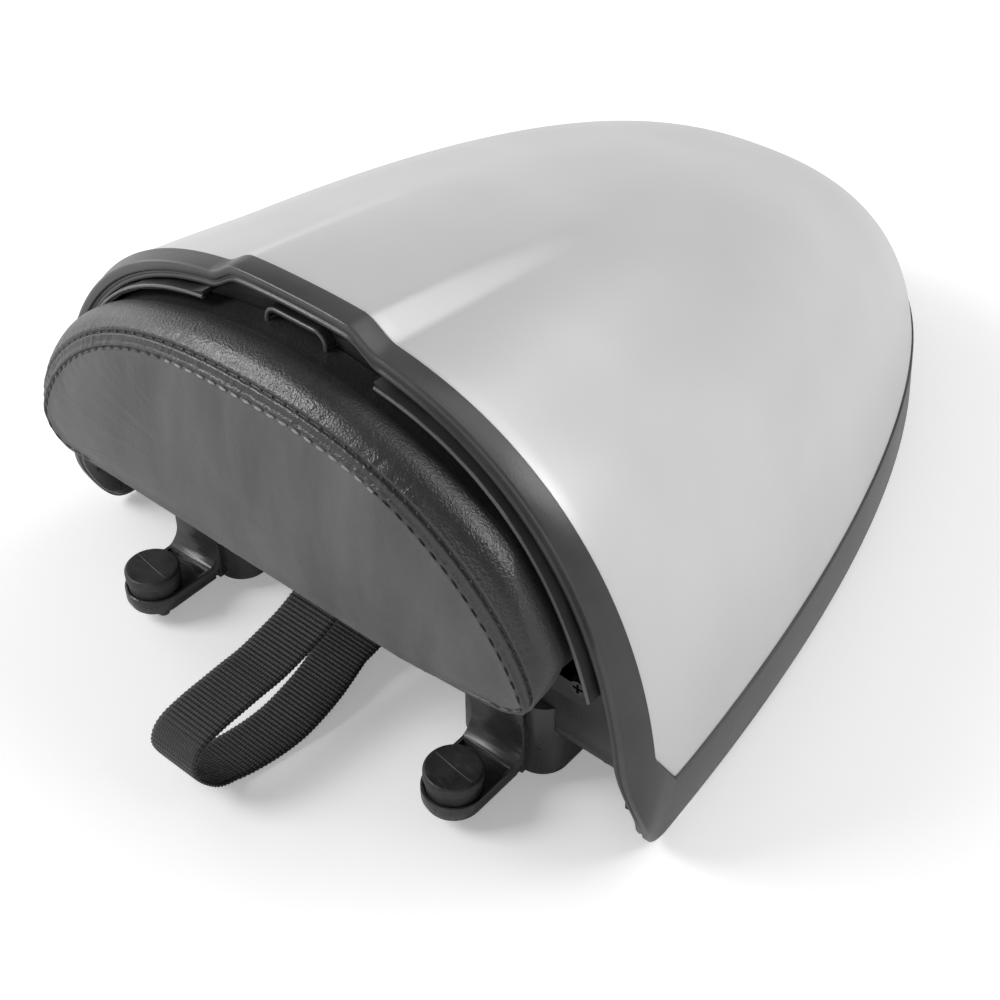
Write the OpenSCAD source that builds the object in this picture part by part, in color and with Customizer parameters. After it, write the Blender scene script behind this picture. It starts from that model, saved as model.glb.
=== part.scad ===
// Motorbike seat cowl: a painted dome on a black moulded frame, with a padded
// front bump stop, two rubber-buffered front feet and a webbing loop.
// Millimetres. X is across the bike, Y runs back to the tail, Z is up.
// Heights are measured from the surface that the cowl stands on.

/* [Dome] */
// Half the width of the dome at its base
dome_half_w = 155; // [140:1:170]
// Length of the dome from the front rim to the tail
dome_len = 372; // [340:1:410]
// Height of the dome over the standing surface at the front rim
dome_h = 180; // [165:1:200]
// Squareness of the dome's cross-section, where 2 is an ellipse
squareness = 2.4; // [2.1:0.05:2.8]
// How long the plan outline stays wide before it draws in
plan_front = 1.61; // [1.3:0.01:2.2]
// How round the plan outline is at the tail
plan_tail = 2.32; // [1.8:0.01:2.8]
// How long the ridge line stays high before it falls
ridge_front = 2.63; // [2:0.01:3.5]
// How round the ridge line is at the tail
ridge_tail = 1.76; // [1.5:0.01:2.2]
// Share of the height that the ridge line dips by halfway along
ridge_dip = 0.2; // [0:0.01:0.3]
// Wall of the painted shell
shell_wall = 2.6; // [2:0.1:3.5]
// Height of the painted shell's lower edge at the front
seam_h = 37; // [34:0.5:45]
// Rise of that edge towards the tail
seam_rise = 3; // [0:0.5:8]
// Height at which the shell's front edge starts to slope back to its corner
corner_h = 57; // [50:1:64]
// Distance that the corner lies behind the front edge
corner_back = 12; // [6:0.5:18]

/* [Raised panel] */
// Rise of the raised strip along the middle of the dome
panel_rise = 5.4; // [3:0.1:8]
// Half the width of the strip's flat top
panel_half_w = 26; // [20:0.5:34]
// Width of the slope on each side of the strip
panel_slope = 14; // [8:0.5:20]
// Length over which the strip fades into the dome
panel_fade = 150; // [100:5:240]

/* [Frame] */
// Height of the frame's lower edge at the front
hem_h = 1; // [0.5:0.5:8]
// Rise of that edge towards the tail
hem_rise = 11; // [4:0.5:14]
// Depth of the rim band in front of the painted shell
rim_depth = 9.5; // [7:0.5:13]
// How far the frame stands proud of the painted shell
frame_proud = 1; // [0.4:0.1:1.6]
// How far the rim's front edge draws in at the sides
rim_draw = 5.5; // [3:0.25:7]
// How far the rim's front edge sweeps back at the hanging corners
tip_sweep = 17; // [10:0.5:22]
// How far the lower edge tucks in under the dome's outline near the front
hem_tuck = 4.5; // [0:0.5:7]
// Height below which the front edge sweeps back
sweep_h = 55; // [48:1:62]
// Rounding of the hanging front corners
tip_round = 9; // [4:0.5:12]
// Width of the screw flange inside the frame
flange_w = 11; // [9:0.5:15]
// Height of the flange's upper face, where the tray lies
shelf_h = 30; // [26:0.5:33]
// Wall of the frame
frame_wall = 2.2; // [1.8:0.1:3]
// How far the frame's lip reaches behind the painted shell
lip_reach = 9; // [6:0.5:12]

/* [Tray] */
// Thickness of the tray's floor and of the bulkhead
tray_t = 3; // [2.4:0.1:4]
// Depth of the ribs under the tray
tray_rib_h = 10; // [6:0.5:14]
// Thickness of the ribs
rib_t = 2.4; // [2:0.1:3.2]
// Spacing of the ribs
rib_pitch = 42; // [34:1:56]
// Length of the window in the tray
window_l = 96; // [60:1:110]
// Half the width of the window
window_w = 44; // [30:1:52]
// Distance of the window's middle behind the rim plane
window_y = 148; // [130:1:160]

/* [Bulkhead] */
// Width of the middle window in the bulkhead
mid_window_w = 50; // [40:1:54]
// Height of the middle window
mid_window_h = 60; // [40:1:66]
// Width of the two side windows
side_window_w = 46; // [36:1:48]
// Height of the side windows
side_window_h = 36; // [24:1:42]
// Distance of the side windows' middles from the middle of the cowl
side_window_x = 62; // [60:1:64]
// Depth of the bulkhead's foot on the tray
wall_foot_l = 15; // [13:0.5:18]

/* [Pad] */
// Half the width of the pad's front panel
panel_w = 122; // [110:1:128]
// Height of the front panel's lower edge
pad_base_h = 78.5; // [74:0.5:84]
// Height of the front panel
pad_h = 80.4; // [74:0.2:84]
// Depth of the pad from the backing plate to the front panel's edge
pad_depth = 31.5; // [24:0.5:36]
// Bulge of the front panel
pad_crown = 5; // [2:0.5:9]
// Fullness of the front panel's outline across, where 2 is an ellipse
panel_round = 2.7; // [2:0.05:3]
// Fullness of the front panel's outline upwards, where 2 is an ellipse
panel_peak = 1.3; // [1.2:0.05:2]
// Fullness of the pad's outline at the back
pad_round_back = 1.7; // [1.6:0.02:2.2]
// Bulge of the side strip between the front panel and the backing plate
pad_puff = 3.6; // [1:0.2:5]
// Radius of the front panel's lower corners
pad_corner_r = 12; // [8:1:18]
// Radius of the pad's lower corners at the back
pad_back_r = 28; // [20:1:34]
// How far the pad's underside slopes down to the back
pad_drop = 5; // [0:0.5:8]
// Thickness of the covering
cover_t = 1.4; // [1:0.1:2]

/* [Backing plate] */
// Thickness of the backing plate
backing_t = 3; // [2.4:0.1:4]
// Inset of the backing plate from the dome's outline at the top
backing_inset = 8.3; // [8:0.1:11]
// How much larger that inset is at the sides
backing_draw = 3.6; // [2:0.1:5]
// Height of the backing plate's lower edge
backing_base_h = 66; // [60:0.5:72]
// Forward reach of the lip round the pad
lip_h = 9; // [6:0.5:11]
// Thickness of that lip
lip_t = 2; // [1.6:0.1:2.6]
// Half the gap in the lip at the middle of the top edge
lip_gap = 40; // [30:1:60]
// Height at which the lip ends at the sides
lip_end_h = 82; // [80:1:96]
// Width of the finger tab at the middle of the top edge
tab_w = 30; // [20:1:36]
// Height of the finger tab
tab_h = 14; // [8:0.5:16]

/* [Feet] */
// Distance of each foot's centre from the middle of the cowl
foot_x = 83; // [76:0.5:90]
// Width of the foot plate
foot_w = 25; // [22:0.5:30]
// Thickness of the foot plate
foot_t = 7; // [5:0.5:9]
// Height of the foot plate's upper face
foot_top_h = 14; // [12:0.5:18]
// Reach of the buffer's centre in front of the rim plane
buffer_reach = 26; // [22:0.5:32]
// Diameter of the front buffers at the top
buffer_d = 23; // [20:0.5:25]
// Height of the front buffers above the foot plate
buffer_h = 10; // [7:0.5:13]
// Diameter of the stem that holds each buffer
stem_d = 8; // [6:0.5:10]
// Width of a foot's block
block_w = 46.5; // [40:0.5:54]
// Length of a foot's block
block_l = 35; // [28:0.5:44]
// Radius of the block's upright corners
block_r = 11.5; // [8:0.5:14]
// Height of the block's top over the standing surface
block_h = 43; // [38:0.5:52]
// Height of the block's lower edge over the standing surface
block_base_h = 6.5; // [6:0.5:9]
// Wall of the hollow block
block_wall = 3; // [2.4:0.1:4]
// Radius of the fillet between foot plate and block
foot_fillet = 9; // [6:0.5:12]
// Diameter of the rear buffers
rear_buffer_d = 24; // [20:0.5:30]
// Height of the rear buffers
rear_buffer_h = 12; // [9:0.5:15]
// Distance between the rear buffers
rear_buffer_gap = 110; // [80:1:130]
// Distance of the rear buffers behind the rim plane
rear_buffer_y = 255; // [220:1:280]

/* [Strap] */
// Width of the webbing
strap_w = 25; // [20:0.5:30]
// Thickness of the webbing
strap_t = 1.6; // [1.2:0.1:2.2]

/* [Rear catch] */
// Diameter of the catch loop's bar
catch_d = 6; // [5:0.25:8]
// Clear width inside the catch loop
catch_w = 26; // [20:1:34]
// Height of the bar's axis over the standing surface
catch_h = 10; // [7:0.5:14]
// Distance of the catch loop behind the rim plane
catch_y = 305; // [290:1:315]

/* [Screws] */
// Diameter of the self-tapping screws' shanks
screw_d = 4; // [3.5:0.1:5]
// Diameter of the screw heads
screw_head_d = 8.5; // [7:0.1:10]
// Height of the screw heads
screw_head_h = 2.6; // [2:0.1:3.4]
// Diameter of the bosses that take the screws
boss_d = 9; // [8:0.5:10]

/* [Hidden] */

$fn = 48;

// Clearance between parts that are assembled with play
clear = 0.3;
// Steps of the dome's mesh: up each side, across each notch, and along the length
side_steps = 13;
notch_steps = 4;
length_steps = 22;
half_cols = side_steps + notch_steps + 1;
// Angle of the section at which the raised strip's slope starts and ends at the rim
notch_foot_a = acos(pow((panel_half_w + panel_slope) / dome_half_w, squareness / 2));
notch_top_a = acos(pow(panel_half_w / dome_half_w, squareness / 2));

// Smooth step from 0 to 1
function ease(v) = let (u = min(1, max(0, v))) u * u * (3 - 2 * u);

// Half the width of the dome at distance y behind the rim, inset by d
function plan_half(y, d) = let (t = min(1, max(0, y / (dome_len - d))))
    (dome_half_w - d) * pow(1 - pow(t, plan_front), 1 / plan_tail);

// Height of the dome's ridge at distance y behind the rim, inset by d
function ridge(y, d) = let (t = min(1, max(0, y / (dome_len - d))))
    (dome_h - d) * pow(1 - pow(t, ridge_front), 1 / ridge_tail) * (1 - ridge_dip * t * (1 - t));

// Rise of the raised strip over the dome at a point in plan
function strip_rise(x, y) =
    panel_rise * (1 - ease((abs(x) - panel_half_w) / panel_slope)) * (1 - ease(y / panel_fade));

// Height of an edge that starts at height z and rises towards the tail
function edge_h(z, rise, y) = z + rise * max(0, y) / dome_len;

// Distance behind the rim at which the ridge meets such an edge
function ridge_end(z, rise, d, lo = 0, hi = 1, n = 24) =
    let (mid = (lo + hi) / 2, y = mid * (dome_len - d))
    n == 0 ? y :
    ridge(y, d) > edge_h(z, rise, y) ? ridge_end(z, rise, d, mid, hi, n - 1) :
    ridge_end(z, rise, d, lo, mid, n - 1);

// Point of the dome at section angle a, 0 at the right base and 90 on the ridge
function dome_at(y, a, d) =
    let (x = plan_half(y, d) * sign(cos(a)) * pow(abs(cos(a)), 2 / squareness))
    [x, y, ridge(y, d) * pow(sin(a), 2 / squareness) + strip_rise(x, y)];

// Section angle at which the dome, inset by d, is at height z
function angle_at(y, z, d) = asin(min(1, pow(z / ridge(y, d), squareness / 2)));

// Half the width of the dome at height z
function half_at(y, z, d) =
    plan_half(y, d) * pow(max(0, 1 - pow(z / ridge(y, d), squareness)), 1 / squareness);

// Share of the way from a section's foot to its ridge, for column k of one half
function column_share(k) = let (start = notch_foot_a / 90, stop = notch_top_a / 90)
    k <= side_steps ? start * pow(k / side_steps, 1.5) :
    k <= side_steps + notch_steps ? start + (stop - start) * (k - side_steps) / notch_steps : 1;

// Section angle of column k, counted from right foot to left foot
function column_angle(k, foot) = k <= half_cols ?
    foot + (90 - foot) * column_share(k) : 180 - foot - (90 - foot) * column_share(2 * half_cols - k);

// Closed solid from rows of points that run round in both directions
module ring_solid(rows) {
    n = len(rows);
    m = len(rows[0]);
    polyhedron(points = [for (r = rows) each r],
        faces = [for (i = [0:n - 1], k = [0:m - 1])
            let (a = i * m + k, b = i * m + (k + 1) % m,
                c = ((i + 1) % n) * m + (k + 1) % m, e = ((i + 1) % n) * m + k)
            each [[a, b, c], [a, c, e]]],
        convexity = 8);
}

// Closed solid from stacked loops of points, with a flat cap at each end
module loft_solid(loops) {
    n = len(loops);
    m = len(loops[0]);
    polyhedron(points = [for (r = loops) each r],
        faces = concat([[for (k = [0:m - 1]) k]],
            [for (i = [0:n - 2], k = [0:m - 1])
                let (a = i * m + k, b = i * m + (k + 1) % m, c = b + m, e = a + m)
                each [[a, e, c], [a, c, b]]],
            [[for (k = [m - 1:-1:0]) (n - 1) * m + k]]),
        convexity = 8);
}

// How far the shell's front edge slopes back at height z
function corner_cut(z) = corner_back * min(1, max(0, (corner_h - z) / (corner_h - seam_h)));

// Row of one skin of the painted shell, at share s of its length
function shell_row(s, d) = let (end = ridge_end(seam_h, seam_rise, d))
    [for (k = [0:2 * half_cols])
        let (z = dome_at(0, column_angle(k, angle_at(0, seam_h, d)), d)[2],
            front = clear + corner_cut(z),
            y = front + (end - front) * s,
            foot = angle_at(y, edge_h(seam_h, seam_rise, y), d))
        dome_at(y, column_angle(k, foot), d)];

// Painted dome
module cowl_shell() color("silver") {
    rows = [for (i = [0:length_steps]) let (s = sin(90 * i / (length_steps + 0.35)))
        concat(shell_row(s, 0), shell_row(s, shell_wall))];
    skin_shell(rows);
}

// Solid between an outer and an inner skin, each row holding both
module skin_shell(rows) {
    n = len(rows);
    m = len(rows[0]) / 2;
    w = 2 * m;
    last = (n - 1) * w;
    polyhedron(points = [for (r = rows) each r],
        faces = concat(
            [for (i = [0:n - 2], k = [0:m - 2])
                let (a = i * w + k, b = a + 1, c = b + w, e = a + w) each [[a, b, c], [a, c, e]]],
            [for (i = [0:n - 2], k = [0:m - 2])
                let (a = i * w + m + k, b = a + 1, c = b + w, e = a + w) each [[a, c, b], [a, e, c]]],
            [for (i = [0:n - 2], side = [0, 1])
                let (o = i * w + side * (m - 1), q = o + m, c = q + w, e = o + w)
                each side == 0 ? [[o, e, c], [o, c, q]] : [[o, c, e], [o, q, c]]],
            [for (k = [0:m - 2]) let (a = k, b = k + 1, c = m + k + 1, e = m + k) each [[a, c, b], [a, e, c]]],
            [for (k = [0:m - 2]) let (a = last + k, b = a + 1, c = b + m, e = a + m)
                each [[a, b, c], [a, c, e]]]),
        convexity = 8);
}

// Section of the frame. Each corner holds the inset and the distance from the
// rim plane where the section runs over the dome, then the inset, height and
// rise where it runs along the side, and last how the hanging corner shapes it:
// HELD keeps it, SWEPT moves it back with the rim, CUT with the shell's corner.
HELD = 0;
SWEPT = 1;
CUT = 2;
lip_out = shell_wall + 0.5;
lip_in = lip_out + frame_wall;
rim_in = 7.6;
frame_section = [
    [-frame_proud, 0, -frame_proud, seam_h - clear, seam_rise, CUT],
    [-frame_proud, 2.3 - rim_depth, -frame_proud, hem_h + 3, hem_rise, SWEPT],
    [0.6 - frame_proud, 0.8 - rim_depth, 0.6 - frame_proud, hem_h + 0.9, hem_rise, SWEPT],
    [1, -rim_depth, 0.6, hem_h, hem_rise, SWEPT],
    [2.4, -rim_depth, 1.4, hem_h, hem_rise, SWEPT],
    [2.9, 1.2 - rim_depth, 1.6, hem_h + 0.9, hem_rise, SWEPT],
    [3.7, 1.2 - rim_depth, 1.7, hem_h + 2, hem_rise, SWEPT],
    [4.2, 0.3 - rim_depth, 1.8, hem_h + 3.5, hem_rise, SWEPT],
    [5.4, 0.5 - rim_depth, 1.9, hem_h + 5.5, hem_rise, SWEPT],
    [6.8, 5.5 - rim_depth, frame_wall, shelf_h - 4.6, 0, SWEPT],
    [rim_in, 4, 4, shelf_h - tray_t, 0, HELD],
    [rim_in + flange_w - 2, 4, flange_w + 5, shelf_h - tray_t, 0, HELD],
    [rim_in + flange_w - 2, 6.6, flange_w + 5, shelf_h, 0, HELD],
    [rim_in + 2.4, 6.6, lip_in, shelf_h, 0, HELD],
    [rim_in, -2, lip_in, shelf_h + 2, 0, SWEPT],
    [lip_in, -5, lip_in, shelf_h + 4, 0, SWEPT],
    [lip_in, lip_reach, lip_in, seam_h + lip_reach, seam_rise, CUT],
    [lip_out, lip_reach, lip_out, seam_h + lip_reach, seam_rise, CUT],
    [lip_out, 0, lip_out, seam_h - clear, seam_rise, CUT]];
frame_steps = 16;
blend_steps = 3;
// Length over which the drawn-in edge runs out along the lowest part of the side
draw_fade = 32;
// Length over which the tuck under the dome's outline fades
tuck_fade = 260;

// How far a corner of the section moves back at height z
function moved(c, z) = c[5] == SWEPT ? tip_sweep * pow(max(0, 1 - z / sweep_h), 2.2) :
    c[5] == CUT ? corner_cut(z) : 0;

// How much further in a corner of the section lies, at section angle a
function drawn(c, y, z, a) = c[5] != SWEPT ? 0 :
    let (fade = rim_depth + draw_fade * max(0, 1 - z / sweep_h))
    rim_draw * pow(cos(a), 2) * (1 - ease((y + rim_depth) / fade)) * ease((z - 22) / 35)
    + hem_tuck * ease(1 - z / shelf_h) * (1 - ease(y / tuck_fade));

// Corner c of the frame's section at row i of the side run, 0 at the tip
function side_pt(c, i, side) =
    let (cut = c[5] == SWEPT && c[3] < shelf_h / 2 && i == 0 ? tip_round * 0.29 : 0,
        start = c[1] + moved(c, c[3] + cut) + cut,
        end = ridge_end(c[3], c[4], c[2]),
        y = start + (end - start) * sin(90 * pow(i / frame_steps, 1.5)),
        z = edge_h(c[3] + cut, c[4], y),
        d = c[0] + (c[2] - c[0]) * ease(i / blend_steps),
        in_by = drawn(c, y, z, 0))
    [side * (i == frame_steps ? 0 : half_at(y, z, d + in_by)), y, z];

// Corner c of the section at column k of the run over the dome
function over_pt(c, k) =
    let (a = column_angle(k, angle_at(0, c[3], c[0])),
        z = dome_at(0, a, c[0])[2],
        y = c[1] + moved(c, z),
        d = c[0] + drawn(c, y, z, a))
    dome_at(y, column_angle(k, angle_at(y, c[3], d)), d);

// Black frame: rim over the front, bands along the sides and round the tail
module cowl_frame() color([0.13, 0.13, 0.135]) difference() {
    rows = concat(
        [for (i = [frame_steps:-1:0]) [for (c = frame_section) side_pt(c, i, 1)]],
        [for (k = [1:2 * half_cols - 1]) [for (c = frame_section) over_pt(c, k)]],
        [for (i = [0:frame_steps - 1]) [for (c = frame_section) side_pt(c, i, -1)]]);
    ring_solid(rows);
    at_tray_screws() translate([0, 0, -8]) cylinder(d = hole_d, h = 16);
    at_rim_screws() translate([0, 0, -9]) cylinder(d = hole_d, h = 18);
}

// Distance behind the rim plane at which the bulkhead stands
wall_y = 6.6;
// Upper face of the tray
tray_top = shelf_h + tray_t;
// Inset of the tray's edge, which clears the frame's lip
tray_inset = lip_in + 2.3;
// Its inset at the front corners, where the frame is wider
tray_front_inset = 12.8;
hole_d = screw_d + 0.2;
// Distances of the tray's screws behind the rim plane
tray_screw_y = [46, 112, 180, 246, 306];
// Section angles of the screws through the rim's flange
rim_screw_a = [28, 52, 76];
// Distance of the foot blocks' front behind the rim plane
block_front = 0.8;
// Places of a foot's screws
foot_screw_x = [foot_x - 14, foot_x + 13];
foot_screw_y = 24;
// Half the distance between the screws of a strap clamp
clamp_x = 18;
// Places of the screws through the bulkhead's own foot
wall_screw_x = [clamp_x + 22, dome_half_w - 31];
wall_screw_y = wall_y + wall_foot_l - 5.6;
// Places of the backing plate's screws, in front and from behind
backing_front_z = backing_base_h + 11;
backing_front_at = [[half_at(0, backing_front_z, backing_inset + backing_draw) - 11, backing_front_z]];
backing_rear_at = [[clamp_x + 26, backing_front_z + 1], [dome_half_w * 0.4, dome_h - 46]];
// Reach of the cutters that drill right through
through = 50;
upper_clamp_z = 60;
lower_clamp_y = 70;

// Flat piece that stands across the cowl between two distances behind the rim plane
module standing(y0, y1) translate([0, y1, 0]) rotate([90, 0, 0]) linear_extrude(y1 - y0) children();

// The dome's section at the rim plane, cut off at a height; its inset is d at the top and more at the sides
module arch(d, base, more = 0) {
    foot = angle_at(0, base, d + more);
    polygon([for (k = [0:2 * half_cols])
        let (a = column_angle(k, foot), p = dome_at(0, a, d + more * pow(cos(a), 2))) [p[0], p[2]]]);
}

// Rectangle with round corners about its middle
module rounded(w, h, r) {
    square([w, h - 2 * r], center = true);
    square([w - 2 * r, h], center = true);
    for (i = [-1, 1], j = [-1, 1]) translate([i * (w / 2 - r), j * (h / 2 - r)]) circle(r);
}

// Plan outline of the dome at the tray's height, inset by d, from y0 to the tail
module tray_plan(d, y0) {
    n = 20;
    end = ridge_end(tray_top, 0, d);
    right = [for (i = [0:n])
        let (y = y0 + (end - y0) * sin(90 * i / n),
            more = (tray_front_inset - tray_inset) * (1 - ease((y - wall_y) / 48)))
        [i == n ? 0 : half_at(y, tray_top, d + more), y]];
    polygon(concat(right, [for (i = [n - 1:-1:0]) [-right[i][0], right[i][1]]]));
}

// Self-tapping screw that points down, with the underside of its head at the origin
module screw(length) {
    difference() {
        cylinder(d1 = screw_head_d, d2 = screw_head_d - 2.2, h = screw_head_h);
        for (a = [0, 90]) rotate(a) translate([0, 0, screw_head_h]) cube([4.4, 1.1, 2.6], center = true);
    }
    translate([0, 0, 1.5 - length]) cylinder(d = screw_d, h = length - 1.5 + 0.5);
    translate([0, 0, -length]) cylinder(d1 = screw_d * 0.5, d2 = screw_d, h = 1.5);
}

module at_tray_screws() for (y = tray_screw_y, side = [-1, 1])
    translate([side * half_at(y, shelf_h, 11), y, tray_top]) children();

module at_rim_screws() for (a = rim_screw_a, side = [-1, 1]) let (p = dome_at(0, a, 14.4))
    translate([side * p[0], wall_y + tray_t, p[2]]) rotate([-90, 0, 0]) children();

module at_wall_screws() for (x = wall_screw_x, side = [-1, 1])
    translate([side * x, wall_screw_y, tray_top + tray_t]) children();

module at_foot_screws() for (x = foot_screw_x, side = [-1, 1])
    translate([side * x, foot_screw_y, shelf_h - block_wall]) rotate([180, 0, 0]) children();

module at_backing_front() for (p = backing_front_at, side = [-1, 1])
    translate([side * p[0], -0.3 - backing_t, p[1]]) rotate([90, 0, 0]) children();

module at_backing_rear() for (p = backing_rear_at, side = [-1, 1])
    translate([side * p[0], wall_y + tray_t, p[1]]) rotate([-90, 0, 0]) children();

module at_rear_buffers() for (side = [-1, 1])
    translate([side * rear_buffer_gap / 2, rear_buffer_y, 0]) children();

module at_catch_legs() for (side = [-1, 1])
    translate([side * (catch_w + catch_d) / 2, catch_y, 0]) children();

// Floor of the cowl, ribbed underneath and open in the middle
module base_tray() color([0.1, 0.1, 0.1]) difference() {
    union() {
        translate([0, 0, shelf_h]) linear_extrude(tray_t) difference() {
            tray_plan(tray_inset, wall_y + clear);
            translate([0, window_y]) rounded(2 * window_w, window_l, 12);
        }
        translate([0, 0, shelf_h - tray_rib_h]) intersection() {
            linear_extrude(tray_rib_h) tray_plan(flange_w + 7, 40);
            difference() {
                union() {
                    for (i = [0:2], side = [-1, 1])
                        translate([side * (window_w + 4 + i * rib_pitch * 0.75) - rib_t / 2, 40, 0])
                            cube([rib_t, dome_len, tray_rib_h]);
                    for (y = [wall_y + 88:rib_pitch * 1.3:dome_len])
                        translate([-dome_half_w, y, 0]) cube([2 * dome_half_w, rib_t, tray_rib_h]);
                }
                translate([-window_w, window_y - window_l / 2, -1])
                    cube([2 * window_w, window_l, tray_rib_h + 2]);
            }
        }
        at_rear_buffers() translate([0, 0, rear_buffer_h])
            cylinder(d = rear_buffer_d - 3, h = shelf_h - rear_buffer_h);
        at_catch_legs() translate([0, 0, shelf_h - 4]) cylinder(d = 16, h = 4);
        for (x = foot_screw_x, side = [-1, 1])
            translate([side * x, foot_screw_y, tray_top]) cylinder(d = boss_d, h = 9);
        at_wall_screws() translate([0, 0, -2 * tray_t - 7]) cylinder(d = boss_d, h = 7);
        for (side = [-1, 1])
            translate([side * clamp_x, lower_clamp_y, shelf_h - 2.2]) cylinder(d = 8, h = 2.2);
        for (side = [-1, 1]) translate([side * clamp_x, lower_clamp_y, tray_top]) cylinder(d = 8, h = 5);
    }
    at_tray_screws() translate([0, 0, -8]) cylinder(d = hole_d, h = 16);
    at_wall_screws() translate([0, 0, -through]) cylinder(d = hole_d, h = through + 2);
    at_foot_screws() translate([0, 0, -16]) cylinder(d = hole_d, h = 18);
    at_rear_buffers() cylinder(d = stem_d + 2 * clear, h = rear_buffer_h + 8);
    at_catch_legs() cylinder(d = catch_d + 0.4, h = through);
    for (side = [-1, 1]) translate([side * clamp_x, lower_clamp_y, 0]) cylinder(d = hole_d, h = through);
}

// Upright wall behind the pad, on its own foot on the tray
module bulkhead() color([0.09, 0.09, 0.09]) difference() {
    union() {
        standing(wall_y, wall_y + tray_t) difference() {
            arch(11, tray_top);
            for (side = [-1, 1])
                translate([side * side_window_x, dome_h - 80]) rounded(side_window_w, side_window_h, 9);
            translate([0, dome_h - 68]) rounded(mid_window_w, mid_window_h, 9);
        }
        for (side = [-1, 1]) intersection() {
            for (x = [mid_window_w / 2 + 5, foot_x + 1, dome_half_w - 47])
                translate([side * x - rib_t / 2, wall_y, tray_top]) cube([rib_t, 12, dome_h]);
            standing(wall_y, wall_y + 20) arch(18, tray_top);
        }
        translate([-wall_screw_x[0] - 6, wall_y, tray_top]) cube([2 * wall_screw_x[0] + 12, wall_foot_l, tray_t]);
        for (side = [-1, 1])
            translate([side * (wall_screw_x[1] + 1) - 11, wall_y, tray_top])
                cube([22, wall_foot_l, tray_t]);
        at_backing_front() translate([0, 0, -backing_t - 0.3 - wall_y - 12]) cylinder(d = boss_d, h = 12);
        for (side = [-1, 1])
            translate([side * clamp_x, wall_y, upper_clamp_z]) rotate([-90, 0, 0]) cylinder(d = 8, h = 8);
    }
    at_rim_screws() translate([0, 0, -9]) cylinder(d = hole_d, h = 18);
    at_wall_screws() translate([0, 0, -9]) cylinder(d = hole_d, h = 18);
    at_backing_front() translate([0, 0, -through]) cylinder(d = hole_d, h = through + 10);
    at_backing_rear() translate([0, 0, -9]) cylinder(d = hole_d, h = 18);
    for (side = [-1, 1])
        translate([side * clamp_x, wall_y - 5, upper_clamp_z])
            rotate([-90, 0, 0]) cylinder(d = hole_d, h = 25);
}

// Plate that carries the pad, with a lip round it and a finger tab on top
module backing_plate() color([0.12, 0.12, 0.12]) difference() {
    back = -0.3;
    front = back - backing_t;
    lip_inset = backing_inset + 0.4;
    union() {
        standing(front, back) arch(backing_inset, backing_base_h, backing_draw);
        // Lip round the pad, open in the middle of the top edge
        standing(front - lip_h, front + 0.5) difference() {
            arch(lip_inset, lip_end_h, backing_draw);
            arch(lip_inset + lip_t, lip_end_h - 1, backing_draw);
            translate([-lip_gap, 100]) square([2 * lip_gap, dome_h]);
        }
        // Finger tab, a raised line bent into a U that stands upside down
        standing(front - 4, front + 0.5)
            translate([0, dome_h + panel_rise - backing_inset - 2.8 - tab_h / 2]) difference() {
                rounded(tab_w, tab_h, 5);
                translate([0, -2]) rounded(tab_w - 4, tab_h, 3.5);
                translate([-tab_w / 2 - 1, -tab_h / 2 - 1]) square([tab_w + 2, tab_h - 4.4]);
            }
        // Rib that bears on the rim's flange
        standing(back - 0.5, 4) difference() {
            arch(12.6, backing_base_h + 14);
            arch(14.6, backing_base_h);
        }
        for (p = concat(backing_front_at, backing_rear_at), side = [-1, 1])
            translate([side * p[0], back - 0.5, p[1]])
                rotate([-90, 0, 0]) cylinder(d = 8, h = wall_y - back + 0.5);
    }
    at_backing_front() translate([0, 0, -through]) cylinder(d = hole_d, h = through + 10);
    at_backing_rear() translate([0, 0, -12.3]) cylinder(d = hole_d, h = 14);
    at_rim_screws() translate([0, 0, -9]) cylinder(d = 8, h = 9);
}

// Side strip, from the front panel to the pad's back: share of the way between their
// outlines, share of the depth, and share of the bulge. The second ring is the stitched seam.
boxing_out = [0, 0.32, 0.55, 0.8, 0.95, 1, 1];
boxing_back = [0, 0.07, 0.19, 0.38, 0.57, 0.69, 1];
boxing_puff = [0, 0.5, 1, 1, 0.6, 0, 0];
seam_y = -3.5 - pad_depth;
pad_back_y = -0.3 - backing_t - clear;
pad_back_inset = backing_inset + 0.4 + lip_t + 0.4;
arch_steps = 24;
corner_steps = 4;

function mix(a, b, v) = a + (b - a) * v;

// Half the width of the pad's room inside the lip at height z
function pad_room(z, d) =
    let (s = pow(min(1, z / (dome_h - pad_back_inset)), squareness))
    half_at(0, z, pad_back_inset + d + backing_draw * (1 - s));

// Outline of the pad at share v of the way to its back, inset by d
function pad_loop(v, d) =
    let (r = mix(pad_corner_r, pad_back_r, v) - d,
        base = pad_base_h - pad_drop * v + d,
        mid = base + r,
        half = mix(panel_w, pad_room(pad_base_h - pad_drop + pad_back_r, 0), v) - d,
        top = mix(pad_base_h + pad_h, dome_h - pad_back_inset, v) - d,
        across = 2 / mix(panel_round, pad_round_back, v),
        upwards = 2 / mix(panel_peak, pad_round_back, v),
        right = [for (i = [0:corner_steps]) let (a = -90 + 90 * i / corner_steps)
            [half - r + r * cos(a), mid + r * sin(a)]])
    concat(right,
        [for (i = [1:arch_steps - 1]) let (a = 180 * i / arch_steps)
            let (z = mid + (top - mid) * pow(sin(a), upwards), room = pad_room(z, d))
            [sign(cos(a)) * min(half * pow(abs(cos(a)), across), room), z]],
        [for (i = [corner_steps:-1:0]) [-right[i][0], right[i][1]]]);

// The same outline as points at distance y, drawn to its middle by a scale
function pad_points(v, d, y, k = 1) = let (c = pad_base_h + pad_h * 0.42)
    [for (p = pad_loop(v, d)) [p[0] * k, y, c + (p[1] - c) * k]];

function crown(k) = pad_crown * (1 - pow(k, 2.2));

panel_rings = [1, 0.95, 0.84, 0.62, 0.3];

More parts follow.
